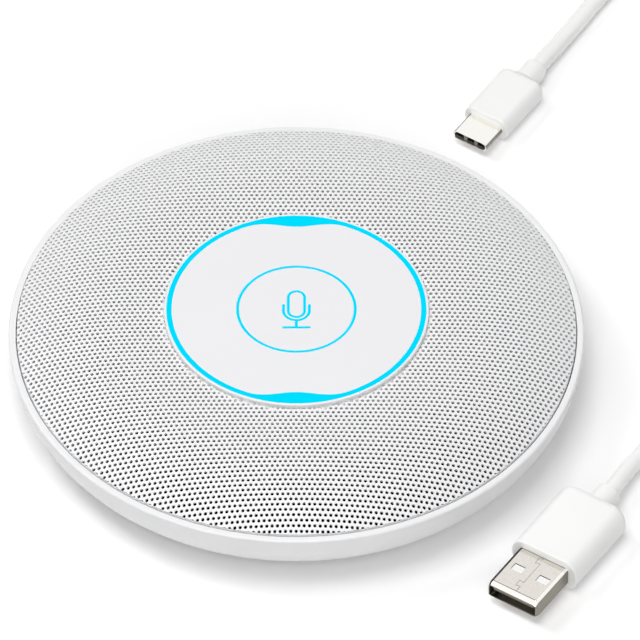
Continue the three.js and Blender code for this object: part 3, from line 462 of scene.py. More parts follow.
def make_materials():
    """All finishes, each named for what the real surface is, or for the light or shade painted on it."""
    tints = bpy.context.scene.microphone_colours
    metal = {"Metallic": 1.0}
    # ABS moulded in a finely spark-eroded tool: white, satin, with soft highlights
    finish("moulded_abs", tints.housing, 0.36, 0.35, 0.004, 0.004, IOR=1.54)
    # Steel sheet, powder coated: white with a slight orange peel, duller than the bowl
    finish("powder_coat", tints.grille, 0.48, 0.5, 0.004, 0.004)
    # Polycarbonate with a satin lacquer: even and pale, with a broad soft sheen
    finish("satin_lacquer", tints.panel, 0.4, 0.25, 0.001, 0.003, IOR=1.58)
    # Opal acrylic, moulded, with light behind it: the same glow from every side
    glowing("lit_acrylic", tints.light)
    # Polyester gauze, woven: matt black, so that the holes look dark
    woven("polyester_gauze", linear("060607"), 0.25, 0.95)
    # Soft thermoplastic jacket, extruded: smooth and rather glossy
    finish("extruded_jacket", tints.cord, 0.22, 0.6, 0.002, 0.004,
           **{"Coat Weight": 0.3, "Coat Roughness": 0.12})
    # The same plastic moulded over the plugs in a sparkling, blasted tool
    finish("blasted_moulding", tints.cord, 0.42, 0.3, 0.02, 0.006)
    # Drawn steel strip with nickel plate: warm grey, smooth, with faint drawing lines
    finish("nickel_plate", tints.plug, 0.2, 0.5, 0.001, 0.02, **metal)
    # Nickel plate painted nearly black on the shell's left fold: a painted dark reflection that draws
    # the shell's far edge
    finish("painted_dark_fold", linear("24221F"), 0.5, 0.4, 0.002)
    # The same plate painted darker and duller on the side walls and the cut front edge: painted shade in
    # place of the shaded floor they reflect
    finish("painted_shade_nickel", linear("8F8B81"), 0.32, 0.5, 0.002, **metal)
    # The same plate painted almost white: a painted highlight on the folds and bevels that face the
    # light, and over the whole USB-C shell
    finish("painted_highlight_nickel", linear("FBF9F3"), 0.14, 0.5, 0.001, 0.01, **metal)
    # Steel screws with zinc plate: bluish and slightly cloudy
    finish("zinc_plate", linear("B9BCC0"), 0.3, 0.3, 0.003, 0.04, **metal)
    # Drawn tinplate cans: pale, with a soft shine
    finish("tinned_can", linear("C8CCD0"), 0.32, 0.4, 0.003, 0.04, **metal)
    # Phosphor bronze contacts with a thin gold plate: warm yellow
    finish("gold_flash", linear("D9B25A"), 0.25, 0.3, 0.002, **metal)
    # Cured rubber, moulded: black and matt, with a fine bloom
    finish("cured_rubber", linear("1C1C1E"), 0.8, 0.4, 0.02, 0.08)
    # Warm grey and matt, on the USB-A insulator and the USB-C springs: painted shade for the shaded
    # inside of the plugs' mouths
    finish("painted_shade_grey", linear("8A8578"), 0.6, 0.3, 0.004)
    # ABS moulded for a hidden part: dark grey, straight from the tool
    finish("dark_abs", linear("262628"), 0.55, 0.35, 0.01, 0.05)
    # Epoxy moulded round chips and switches: black, with a dull sheen
    finish("epoxy_black", linear("141416"), 0.45, 0.25, 0.006, 0.06)
    # Nylon with glass fibres, moulded: off-white and even
    finish("glass_filled_nylon", linear("FBFBF9"), 0.5, 0.3, 0.004)
    # Silicone with phosphor, cast over the lights: a pale yellow
    finish("led_phosphor", linear("F5F2D8"), 0.35, 0.3, 0.003)
    # Green lacquer, printed and cured on the boards
    circuit_board("solder_resist", linear("14532D"))
    # Dust and shade in a joint of the strip: nearly black
    finish("seam_shadow", linear("2C2A26"), 0.6, 0.3, 0.001)
    # Nylon tape, woven with hooks and loops: black and matt
    woven("hook_and_loop", linear("2A2A2C"), 0.5, 0.9)


# Plugs: built along X from the tip, then turned into place on the table

PLUG_ANGLE = math.radians(56.5)
FLOOR_GAP = 0.05
SHELL_WALL = 0.3
# How far a shell reaches into its grip
SUNK = 1.8
# A grip's back is drawn in by this share of its height
BACK_DRAW_SHARE = 0.16
NECK_FILLET = 0.3
NECK_SHOULDER = 0.6

# Shell and grip: width, height and length. Corners: side and rise. Ends: how round the grip's
# front and back are. Neck: radius and length. Finish: how far a face of the shell looks
# sideways, from 0 to 1, where the folds' painted dark reflection and painted highlight start,
# and where the walls' painted shade starts.
PLUG_C = {
    "tip": (36.4, 66.85), "middle": 2.8, "shell": (8.25, 2.4, 6.2), "grip": (10.6, 5.6, 14.5),
    "corners": (1.9, 2.55), "ends": (0.25, 1.2), "neck": (2.55, 5.3), "finish": (0.58, 0.8),
}
PLUG_A = {
    "tip": (44.65, -66.85), "middle": 4.0, "shell": (12.0, 4.5, 12.0), "grip": (16.0, 8.0, 20.0),
    "corners": (2.9, 3.7), "ends": (0.3, 1.9), "neck": (2.7, 5.0), "finish": (0.12, 0.75),
}

# How far a face of a shell looks up or to the front, from -1 to 1, where its painted shading changes
LOOKS_DOWN = -0.3
LEANS_FRONT = 0.3
LOOKS_FRONT = 0.9


def plug_place(plug, points):
    """Moves points from a plug's own directions to where it lies."""
    turn = Matrix.Rotation(PLUG_ANGLE, 3, "Z")
    shift = Vector((*plug["tip"], plug["middle"] + FLOOR_GAP))
    return [turn @ Vector(point) + shift for point in points]


def plug_body(name, plug, sections, closed=False, across=0.0, up=0.0):
    """A loft along a plug. Each section is x, width, height, and the corners' side and rise."""
    return lofted(name, [
        plug_place(plug, [(x, y + across, z + up) for x, y, z in box_outline(*section)])
        for section in sections], closed)


def plug_block(name, plug, x_ends, y_ends, z_ends):
    """A plain block in a plug's own directions."""
    corners = rectangle(x_ends, y_ends)
    return lofted(name, [plug_place(plug, [(x, y, z) for x, y in corners]) for z in z_ends])


def make_grip(name, plug, solid):
    """Moulded grip with rounded ends and the short tapered neck that the cable leaves by."""
    width, height, long = plug["grip"]
    side, rise = plug["corners"]
    front, back = plug["ends"]
    neck, neck_long = plug["neck"]
    start = plug["shell"][2]
    end = start + long
    sections = []
    for turn in map(math.radians, (0, 30, 60, 90)):
        inset = front * (1 - math.sin(turn))
        sections.append((start + front * (1 - math.cos(turn)),
                         width - 2 * inset, height - 2 * inset, side - inset / 2, rise - inset))
    for turn in map(math.radians, (0, 18, 36, 54, 72, 90)):
        inset = 1 - math.cos(turn)
        lower = height * BACK_DRAW_SHARE * inset
        sections.append((end - back * (1 - math.sin(turn)),
                         width - 2 * back * inset, height - 2 * lower, side - inset / 2, rise - lower))
    profile = [(0.0, neck + NECK_FILLET), (NECK_FILLET, neck), (neck_long - NECK_SHOULDER, neck)]
    for turn in map(math.radians, (30, 60, 80, 90)):
        profile.append((neck_long - NECK_SHOULDER * (1 - math.sin(turn)),
                        neck - NECK_SHOULDER * (1 - math.cos(turn))))
    sections += [(end + along, 2 * radius, 2 * radius, radius, radius) for along, radius in profile]
    return dress(plug_body(name, plug, sections), "blasted_moulding", BODY, "grip_tpe", solid, smooth=50)


def dress_sides(piece, plug):
    """Painted shading on a shell: a dark reflection on its left fold, shade on its walls and cut edge,
    highlight on its right fold and bevel.
    """
    painted_fold_from, shaded_wall_from = plug["finish"]
    for name in ("painted_dark_fold", "painted_shade_nickel", "painted_highlight_nickel"):
        piece.data.materials.append(bpy.data.materials[name])
    turn = Matrix.Rotation(PLUG_ANGLE, 3, "Z")
    left, front = turn @ Vector((0, 1, 0)), turn @ Vector((-1, 0, 0))
    for face in piece.data.polygons:
        sideways, frontways = face.normal.dot(left), face.normal.dot(front)
        # Left fold: painted dark reflection
        if sideways > painted_fold_from and face.normal.z > LOOKS_DOWN:
            face.material_index = 1
        # Side walls and cut front edge: painted shade
        elif abs(sideways) > shaded_wall_from or frontways > LOOKS_FRONT:
            face.material_index = 2
        # Right fold and front bevel, facing up: painted highlight
        elif face.normal.z > 0 and (sideways < -painted_fold_from or frontways > LEANS_FRONT):
            face.material_index = 3


# The cable's line, point by point as in the CAD source

CORD_REST = 1.95
COIL_START = (104.0, 122.6)
COIL_TURNS = 10.25
COIL_LAYERS = 4
COIL_MEAN = 19.88
COIL_BASE = 2.7
LAYER_CLIMB = 0.5
LOOP_PITCH = 4.2
LOOP_STEPS = 24
# How far the cable's ends lie inside the necks, and how far outside them it has its next points
IN_NECK = 2
OUT_OF_NECK = 0.3

TIE_ANGLE = math.radians(200)
TIE_WIDTH = 6.0
TIE_STRAP = 0.5
TIE_EASE = 0.3
# Under the tie the curve bulges this far past its points
TIE_BULGE = 0.1

ROUTE_C = [
    (52.5, 91.6, 2.6), (55.3, 96.1, 2.1), (58.8, 101.8, CORD_REST), (62.4, 107.7, CORD_REST),
    (66.1, 113, CORD_REST), (70.5, 117.4, CORD_REST), (76, 120.7, CORD_REST),
    (82.5, 122.3, CORD_REST), (89, 122.6, 2), (95, 122.6, 2.4), (99.6, 122.6, 2.66),
]
ROUTE_A = [
    (129.4, 89, 15.1), (129.2, 82.5, 13.6), (128.6, 75.5, 10.7), (127.4, 68, 7.1),
    (125.4, 60.5, 4.2), (122.6, 53.5, 2.5), (119, 46.5, 1.98), (114.6, 39, CORD_REST),
    (109, 30.3, CORD_REST), (102.6, 21, CORD_REST), (96, 11.8, CORD_REST), (89.4, 2.6, CORD_REST),
    (83, -6.4, CORD_REST), (77, -15.2, CORD_REST), (72, -23.1, 2.1), (68.2, -29.8, 3.1),
]


def neck_end(plug, past):
    """A point on a plug's axis, past the end of its neck."""
    reach = plug["shell"][2] + plug["grip"][2] + plug["neck"][1] + past
    return plug_place(plug, [(reach, 0, 0)])[0]


def coil_points():
    """Clockwise loops, in and out again at a steady rate, one layer for each run."""
    layer_turns = COIL_TURNS / COIL_LAYERS
    spread = layer_turns * LOOP_PITCH / 2
    outer, inner = COIL_MEAN + spread, COIL_MEAN - spread
    middle = Vector((COIL_START[0], COIL_START[1] - outer, 0))
    points = []
    steps = round(COIL_TURNS * LOOP_STEPS)
    for i in range(steps + 1):
        turn = COIL_TURNS * i / steps
        layer = min(COIL_LAYERS - 1, int(turn / layer_turns))
        within = turn / layer_turns - layer
        if layer % 2:
            within = 1 - within
        height = COIL_BASE
        for reversal in range(1, COIL_LAYERS):
            share = (turn - reversal * layer_turns + LAYER_CLIMB / 2) / LAYER_CLIMB
            share = min(max(share, 0), 1)
            height += LOOP_PITCH * share * share * (3 - 2 * share)
        radius = outer - within * (outer - inner)
        points.append(middle + polar(radius, math.pi / 2 - turn * math.tau, height))
    return middle, points


class MICROPHONE_OT_stage(bpy.types.Operator):
    """Floor, soft studio light and a long-lens camera at the photograph's angle"""

    bl_idname = "microphone.stage"
    bl_label = "Stage"

    aim = (4.905, 3.975, 14.07)
    toward_camera = (0, -0.692, 0.722)
    lens = 1400
    sensor_width = 36
    # From here on lengths are metres
    camera_distance = 5.189
    clip_end = 100
    floor_size = 6
    # Place and size, and how bright white paper on the table gets from the lamp
    lamps = {
        "key_light": ((-0.85, 0.45, 1.15), 0.5, 0.18),
        "front_light": ((0.15, -1.1, 1.0), 0.9, 0.17),
        "top_light": ((-0.14, -0.16, 1.5), 0.85, 0.53),
    }
    world_light = 0.18
    paper_white = 0.93
    paper_lift = 0.11

    def execute(self, context):
        deselect_all()
        toward_camera = Vector(self.toward_camera)
        aim = Vector(self.aim) * MM
        bpy.ops.object.camera_add(location=aim + toward_camera * self.camera_distance)
        camera = context.object
        camera.rotation_euler = toward_camera.to_track_quat("Z", "Y").to_euler()
        camera.data.lens = self.lens
        camera.data.sensor_width = self.sensor_width
        camera.data.clip_end = self.clip_end
        context.scene.camera = camera
        bpy.ops.mesh.primitive_plane_add(size=self.floor_size)
        floor = context.object
        floor.name = "floor"
        floor.data.materials.append(self.floor_material())
        for name, (place, size, share) in self.lamps.items():
            self.lamp(name, Vector(place), size, share)
        self.world(context)
        context.scene.view_settings.view_transform = "Standard"
        return {"FINISHED"}

    def lamp(self, name, place, size, share):
        """A square lamp that looks at the middle of the table."""
        bpy.ops.object.light_add(type="AREA", location=place)
        lamp = bpy.context.object
        lamp.name = name
        lamp.rotation_euler = place.to_track_quat("Z", "Y").to_euler()
        lamp.data.size = size
        lamp.data.energy = share * (math.pi * place.length) ** 2 * place.length / place.z

    def seen(self, material):
        """1 for rays from the camera, from gloss or through glass, and 0 for those that light."""
        rays = node(material, "ShaderNodeLightPath").outputs
        gloss = node(material, "ShaderNodeMath", {"operation": "MAXIMUM"},
                     {0: rays["Is Camera Ray"], 1: rays["Is Glossy Ray"]})
        return node(material, "ShaderNodeMath", {"operation": "MAXIMUM"},
                    {0: gloss.outputs[0], 1: rays["Is Transmission Ray"]}).outputs[0]

    def floor_material(self):
        """Matt paper, seen a little lighter than it is, so that it is white where it is lit."""
        material, shader, _ = new_material("matt_paper")
        lift = node(material, "ShaderNodeMath", {"operation": "MULTIPLY", 1: self.paper_lift},
                    {0: self.seen(material)})
        fit(material, shader, {
            "Base Color": (self.paper_white, self.paper_white, self.paper_white, 1),
            "Roughness": 1.0,
            "Specular IOR Level": 0.0,
            "Emission Color": (1, 1, 1, 1),
            "Emission Strength": lift.outputs[0],
        })
        return material

    def world(self, context):
        """White all round for the camera and for gloss, and a plain level of light."""
        world = bpy.data.worlds.new("studio")
        world.use_nodes = True
        context.scene.world = world
        plain = node(world, "ShaderNodeMapRange",
                     {"From Max": 1.0, "To Min": self.world_light, "To Max": 1.0},
                     {"Value": self.seen(world)})
        fit(world, world.node_tree.nodes["Background"],
            {"Color": (1, 1, 1, 1), "Strength": plain.outputs[0]})


class MICROPHONE_OT_cable(bpy.types.Operator):
    """The whole cable, from plug to plug, with its tie"""

    bl_idname = "microphone.cable"
    bl_label = "Cable"

    def execute(self, context):
        diameter = context.scene.microphone_sizes.cord_diameter
        middle, loops = coil_points()
        cord = diameter / MM
        line = [neck_end(PLUG_C, -IN_NECK), neck_end(PLUG_C, OUT_OF_NECK), *map(Vector, ROUTE_C),
                loops[0] + Vector((-cord, 0, 0)), *loops, loops[-1] + Vector((0, -cord, 0)),
                *map(Vector, ROUTE_A), neck_end(PLUG_A, OUT_OF_NECK), neck_end(PLUG_A, -IN_NECK)]
        deselect_all()
        curve = bpy.data.curves.new("cable", "CURVE")
        curve.dimensions = "3D"
        curve.bevel_depth = diameter / 2
        curve.bevel_resolution = 5
        curve.resolution_u = 4
        curve.use_fill_caps = True
        spline = curve.splines.new("BEZIER")
        spline.bezier_points.add(len(line) - 1)
        for point, place in zip(spline.bezier_points, line):
            point.co = place * MM
            point.handle_left_type = point.handle_right_type = "AUTO"
        cable = bpy.data.objects.new("cable", curve)
        context.collection.objects.link(cable)
        curve.materials.append(bpy.data.materials["extruded_jacket"])
        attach(cable, BODY)
        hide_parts("cable_c_run", "cable_coil", "cable_a_run")
        self.tie(middle, loops, cord)
        return {"FINISHED"}

    def tie(self, middle, loops, cord):
        """A flat strap round the bundle of loops."""
        across = polar(1, TIE_ANGLE)
        along = polar(1, TIE_ANGLE + math.pi / 2)
        under = [(point - middle).dot(across) for point in loops
                 if abs((point - middle).dot(along)) < TIE_WIDTH
                 and (point - middle).dot(across) > 0]
        least, greatest = min(under), max(under) + TIE_BULGE
        low = FLOOR_GAP + TIE_STRAP
        high = COIL_BASE + (COIL_LAYERS - 1) * LOOP_PITCH + cord / 2 + TIE_EASE
        outlines = []
        for offset, grow in ((-0.5, 0), (-0.5, TIE_STRAP), (0.5, TIE_STRAP), (0.5, 0)):
            width = greatest - least + cord + 2 * TIE_EASE + 2 * grow
            height = high - low + 2 * grow
            corner = cord / 2 + grow
            outline = box_outline(offset * TIE_WIDTH, width, height, corner, corner)
            outlines.append([
                middle + along * x + across * ((least + greatest) / 2 - y)
                + Vector((0, 0, (low + high) / 2 + z)) for x, y, z in outline])
        tie = lofted("cable_tie_strap", outlines, closed=True)
        dress(tie, "hook_and_loop", BODY, "black_rubber", "cable_tie")


class MICROPHONE_OT_plugs(bpy.types.Operator):
    """USB-C and USB-A plugs"""

    bl_idname = "microphone.plugs"
    bl_label = "Plugs"

    # USB-C: the mouth's rounding as distance from the tip and inset, and where its wall ends
    c_mouth = ((0.0, 0.15), (0.12, 0.03), (0.3, 0.0))
    c_wall_front = 0.1
    liner_front, liner_sunk, liner_inset = 0.5, 1.4, 0.32
    tongue_slot_inset, tongue_slot_height = 0.65, 0.9
    spring_ends, spring_place = (0.42, 1.6), 1.3
    spring_width, spring_height = 0.8, 1.5
    small_corner = 0.1

    # USB-A: draws and folds are side and rise
    mouth_draw, mouth_fold, mouth_edge = (0.15, 0.65), (0.6, 0.5), 0.2
    mouth_depth = 1.0
    fold = (0.95, 0.75)
    window_places, window_ends, window_half = (-3.25, 2.85), (5.7, 7.6), 1.3
    pad_ends, pad_sides, pad_height, pad_half = (5.72, 7.42), (-1.28, 1.18), 2.1, 0.1
    insulator_up, insulator_tip, insulator_front = 0.9, (0.5, 9.8, 1.5), 1.0
    insulator_width, insulator_height = 10.6, 1.8

    # The folded strip's butt joint with its two dovetails, and the creases across
    seam_radius, seam_sunk = 0.075, 0.035
    seam_joint = ((1.0, -0.3), (2.6, -0.3), (2.35, 0.7), (4.0, 0.75), (3.8, -0.3), (10.2, -0.3),
                  (9.85, 0.75), (11.6, 0.8), (11.4, -0.1), (12.4, -0.1))
    crease_places, crease_half = (1.0, 11.9), 5.3

    def execute(self, context):
        contacts = [solid for name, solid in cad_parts.items() if name.startswith("usb_a_contact")]
        on_cable = [*self.plug_c(), *self.plug_a(), *contacts, bpy.data.objects["cable_tie_strap"]]
        return {"FINISHED"}

    def c_section(self, x, inset):
        """Stadium across the USB-C plug, inset from its shell's outside."""
        wide, thick, _ = PLUG_C["shell"]
        corner = thick / 2 - inset - FACE_GAP
        return x, wide - 2 * inset, thick - 2 * inset, corner, corner

    def plug_c(self):
        """Stadium-shaped shell with a black tongue housing inside, and its grip."""
        wide, _, long = PLUG_C["shell"]
        back = long + SUNK
        stations = (*self.c_mouth, (back, 0.0), (back, SHELL_WALL), (self.c_wall_front, SHELL_WALL))
        shell = plug_body(
            "usb_c_plug_shell", PLUG_C, [self.c_section(*at) for at in stations], closed=True)
        # The whole shell in nickel painted almost white, as a painted highlight
        dress(shell, "painted_highlight_nickel", BODY, "nickel_steel", "usb_c_shell")
        dress_sides(shell, PLUG_C)
        front, back = self.liner_front, long + self.liner_sunk
        corners = (self.small_corner, self.small_corner)
        slot = (wide - 2 * self.tongue_slot_inset, self.tongue_slot_height, *corners)
        liner = plug_body("usb_c_plug_liner", PLUG_C, [
            self.c_section(front, self.liner_inset), self.c_section(back, self.liner_inset),
            (back, *slot), (front, *slot)], closed=True)
        dress(liner, "epoxy_black", BODY, "black_epoxy", "usb_c_contact_block")
        spring = (self.spring_width, self.spring_height, *corners)
        clips = joined("usb_c_plug_springs", *[
            plug_body("spring", PLUG_C, [(x, *spring) for x in self.spring_ends], across=place)
            for place in (-self.spring_place, self.spring_place)])
        # The springs in the painted shade grey of the shaded mouth
        dress(clips, "painted_shade_grey", BODY, "nickel_steel")
        return [shell, liner, clips, make_grip("usb_c_plug_grip", PLUG_C, "usb_c_grip")]

    def a_section(self, x, draw, fold, inset):
        """Rounded rectangle across the USB-A plug, drawn in and inset from its shell's outside."""
        wide, thick, _ = PLUG_A["shell"]
        return (x, wide - 2 * (draw[0] + inset), thick - 2 * (draw[1] + inset),
                fold[0] - inset, fold[1] - inset)

    def plug_a(self):
        """Folded shell with a drawn-in mouth, two windows and a dovetailed seam, and its grip."""
        _, thick, long = PLUG_A["shell"]
        back, taper = long + SUNK, self.mouth_depth
        mouth, body = (self.mouth_draw, self.mouth_fold), ((0.0, 0.0), self.fold)
        shell = plug_body("usb_a_plug_shell", PLUG_A, [
            self.a_section(x, *shape, inset) for x, shape, inset in (
                (0.0, mouth, 0.0), (taper, body, 0.0), (back, body, 0.0),
                (back, body, SHELL_WALL), (taper, body, SHELL_WALL), (0.0, mouth, self.mouth_edge))
        ], closed=True)
        half = self.window_half
        boolean(shell, "DIFFERENCE", *[
            plug_block("window", PLUG_A, self.window_ends, (side - half, side + half), (-thick, thick))
            for side in self.window_places])
        dress(shell, "nickel_plate", BODY, "nickel_steel", "usb_a_shell")
        dress_sides(shell, PLUG_A)
        corners = (self.small_corner, self.small_corner)
        insulator = plug_body("usb_a_plug_insulator", PLUG_A, [
            (*self.insulator_tip, *corners),
            *[(x, self.insulator_width, self.insulator_height, *corners)
              for x in (self.insulator_front, long + self.liner_sunk)]], up=self.insulator_up)
        # The insulator in the painted shade grey of the shaded mouth
        dress(insulator, "painted_shade_grey", BODY, "black_epoxy", "usb_a_insulator")
        pads = joined("usb_a_plug_latch_pads", *[
            plug_block("pad", PLUG_A, self.pad_ends, [place + side for side in self.pad_sides],
                       (height - self.pad_half, height + self.pad_half))
            for place in self.window_places for height in (-self.pad_height, self.pad_height)])
        dress(pads, "glass_filled_nylon", BODY, "led_white")
        return [shell, insulator, pads, self.seam(thick / 2),
                make_grip("usb_a_plug_grip", PLUG_A, "usb_a_grip")]

    def seam(self, top):
        """The strip's joint and creases as fine dark lines."""
        creases = [((x, self.crease_half), (x, -self.crease_half)) for x in self.crease_places]
        routes = [plug_place(PLUG_A, [(x, y, top - self.seam_sunk) for x, y in route])
                  for route in (self.seam_joint, *creases)]
        seam = poly_curve("usb_a_plug_seam", routes, False, dimensions="3D",
                          bevel_depth=self.seam_radius * MM, bevel_resolution=1, use_fill_caps=True)
        bpy.ops.object.convert(target="MESH")
        return dress(seam, "seam_shadow", BODY, "nickel_steel")


class MICROPHONE_OT_housing(bpy.types.Operator):
    """Bowl-shaped lower housing with its lip, port, screw holes, foot ring and screws"""

    bl_idname = "microphone.housing"
    bl_label = "Housing"

    seat_inner, seat_outer = 42.3, 46.9
    lip_rounding, rebate_rounding = 0.5, 0.15
    # The side stops this far under the lip's rounding
    rounding_start = 0.05
    side_steps, hollow_steps = 26, 10
    boss_radius, boss_top = 4.5, 6.0
    stud_radius, stud_top = 2.6, 4.2
    port_width, port_height, port_corner = 11.4, 6.4, 2.8
    port_ends = (48, 62)
    # Profiles of what is cut out or stands alone: radius and height
    screw_well = ((2.75, 0.9), (2.6, 1.05), (2.6, 3.8), (1.5, 3.8), (1.5, 8))
    pilot_hole = ((1.2, 2.0), (1.2, 6.0))
    foot_ring = ((42.6, 1.5), (42.6, 0.2), (42.8, 0), (46.4, 0), (46.6, 0.2), (46.6, 1.5))
    case_screw = ((1.5, 2.1), (2.15, 2.3), (2.3, 2.7), (2.3, 3.7), (1.2, 3.7), (1.2, 9.9), (0.5, 10.2))
    recess_long, recess_wide, recess_ends = 2.9, 0.6, (1.5, 2.8)

    def execute(self, context):
        corners, thirds = turns(4, math.pi / 4), turns(3, math.pi / 6)
        bowl = turned("housing_bowl", self.bowl_profile(context.scene.microphone_sizes), closed=False)
        sink = FLOOR_TOP - WALL / 2
        bosses = posts("boss", ((self.boss_radius, sink), (self.boss_radius, self.boss_top)),
                       PILLAR_PLACE, corners)
        studs = posts("stud", ((self.stud_radius, sink), (self.stud_radius, self.stud_top)),
                      BOARD_SCREW_PLACE, thirds)
        boolean(bowl, "UNION", joined("posts", *bosses, *studs))
        wells = posts("well", self.screw_well, PILLAR_PLACE, corners)
        pilots = posts("pilot", self.pilot_hole, BOARD_SCREW_PLACE, thirds)
        port = lofted("port", [
            port_outline(at, self.port_width, self.port_height, self.port_corner, steps=10)
            for at in self.port_ends])
        boolean(bowl, "DIFFERENCE", joined("cutters", *wells, *pilots, port))
        dress(bowl, "moulded_abs", BODY, "white_abs", "lower_housing")
        foot = turned("foot_ring_rubber", self.foot_ring)
        dress(foot, "cured_rubber", BODY, "black_rubber", "foot_ring")
        self.screws(corners)
        return {"FINISHED"}

    def bowl_profile(self, sizes):
        """From the foot's seat up the side, over the lip, down to the ledge and inside."""
        outer = sizes.body_radius / MM
        rebate = outer - sizes.lip_width / MM
        profile = [(self.seat_inner, FOOT_STAND), (self.seat_inner, SEAT_TOP),
                   (self.seat_outer, SEAT_TOP), (self.seat_outer, FOOT_STAND)]
        for i in range(self.side_steps):
            height = LIP_TOP - (LIP_TOP - FOOT_STAND) * math.cos(math.pi / 2 * i / self.side_steps)
            if height < LIP_TOP - self.lip_rounding - self.rounding_start:
                profile.append((side_radius(height), height))
        lip, edge = self.lip_rounding, self.rebate_rounding
        profile += arc((outer - lip, LIP_TOP - lip), lip, 0, 90, 8)
        profile += arc((rebate + edge, LIP_TOP - edge), edge, 90, 180, 3)
        profile.append((rebate, LEDGE_TOP))
        for i in range(self.hollow_steps + 1):
            drop = math.cos(math.pi / 2 * i / self.hollow_steps)
            height = FLOOR_TOP + (LEDGE_TOP - FLOOR_TOP) * drop
            profile.append((side_radius(height, WALL), height))
        return profile

    def screws(self, corners):
        """Pan-head case screws with a cross recess, one modelled and the rest copied."""
        first = turned("screw", self.case_screw, False, SMALL_STEPS)
        long, wide = [(-size / 2, size / 2) for size in (self.recess_long, self.recess_wide)]
        boolean(first, "DIFFERENCE", *[
            lofted("slot", [[(x, y, z) for x, y in rectangle(*sides)] for z in self.recess_ends])
            for sides in ((long, wide), (wide, long))])
        copies = [bpy.data.objects.new("screw", first.data.copy()) for _ in corners[1:]]
        for screw in copies:
            bpy.context.collection.objects.link(screw)
        for number, (screw, angle) in enumerate(zip([*copies, first], corners), 1):
            screw.name = screw.data.name = f"case_screw_pan_{number}"
            screw.data.transform(Matrix.Translation(polar(PILLAR_PLACE, angle) * MM))
            dress(screw, "zinc_plate", BODY, "screw_steel", f"case_screw_{number}")


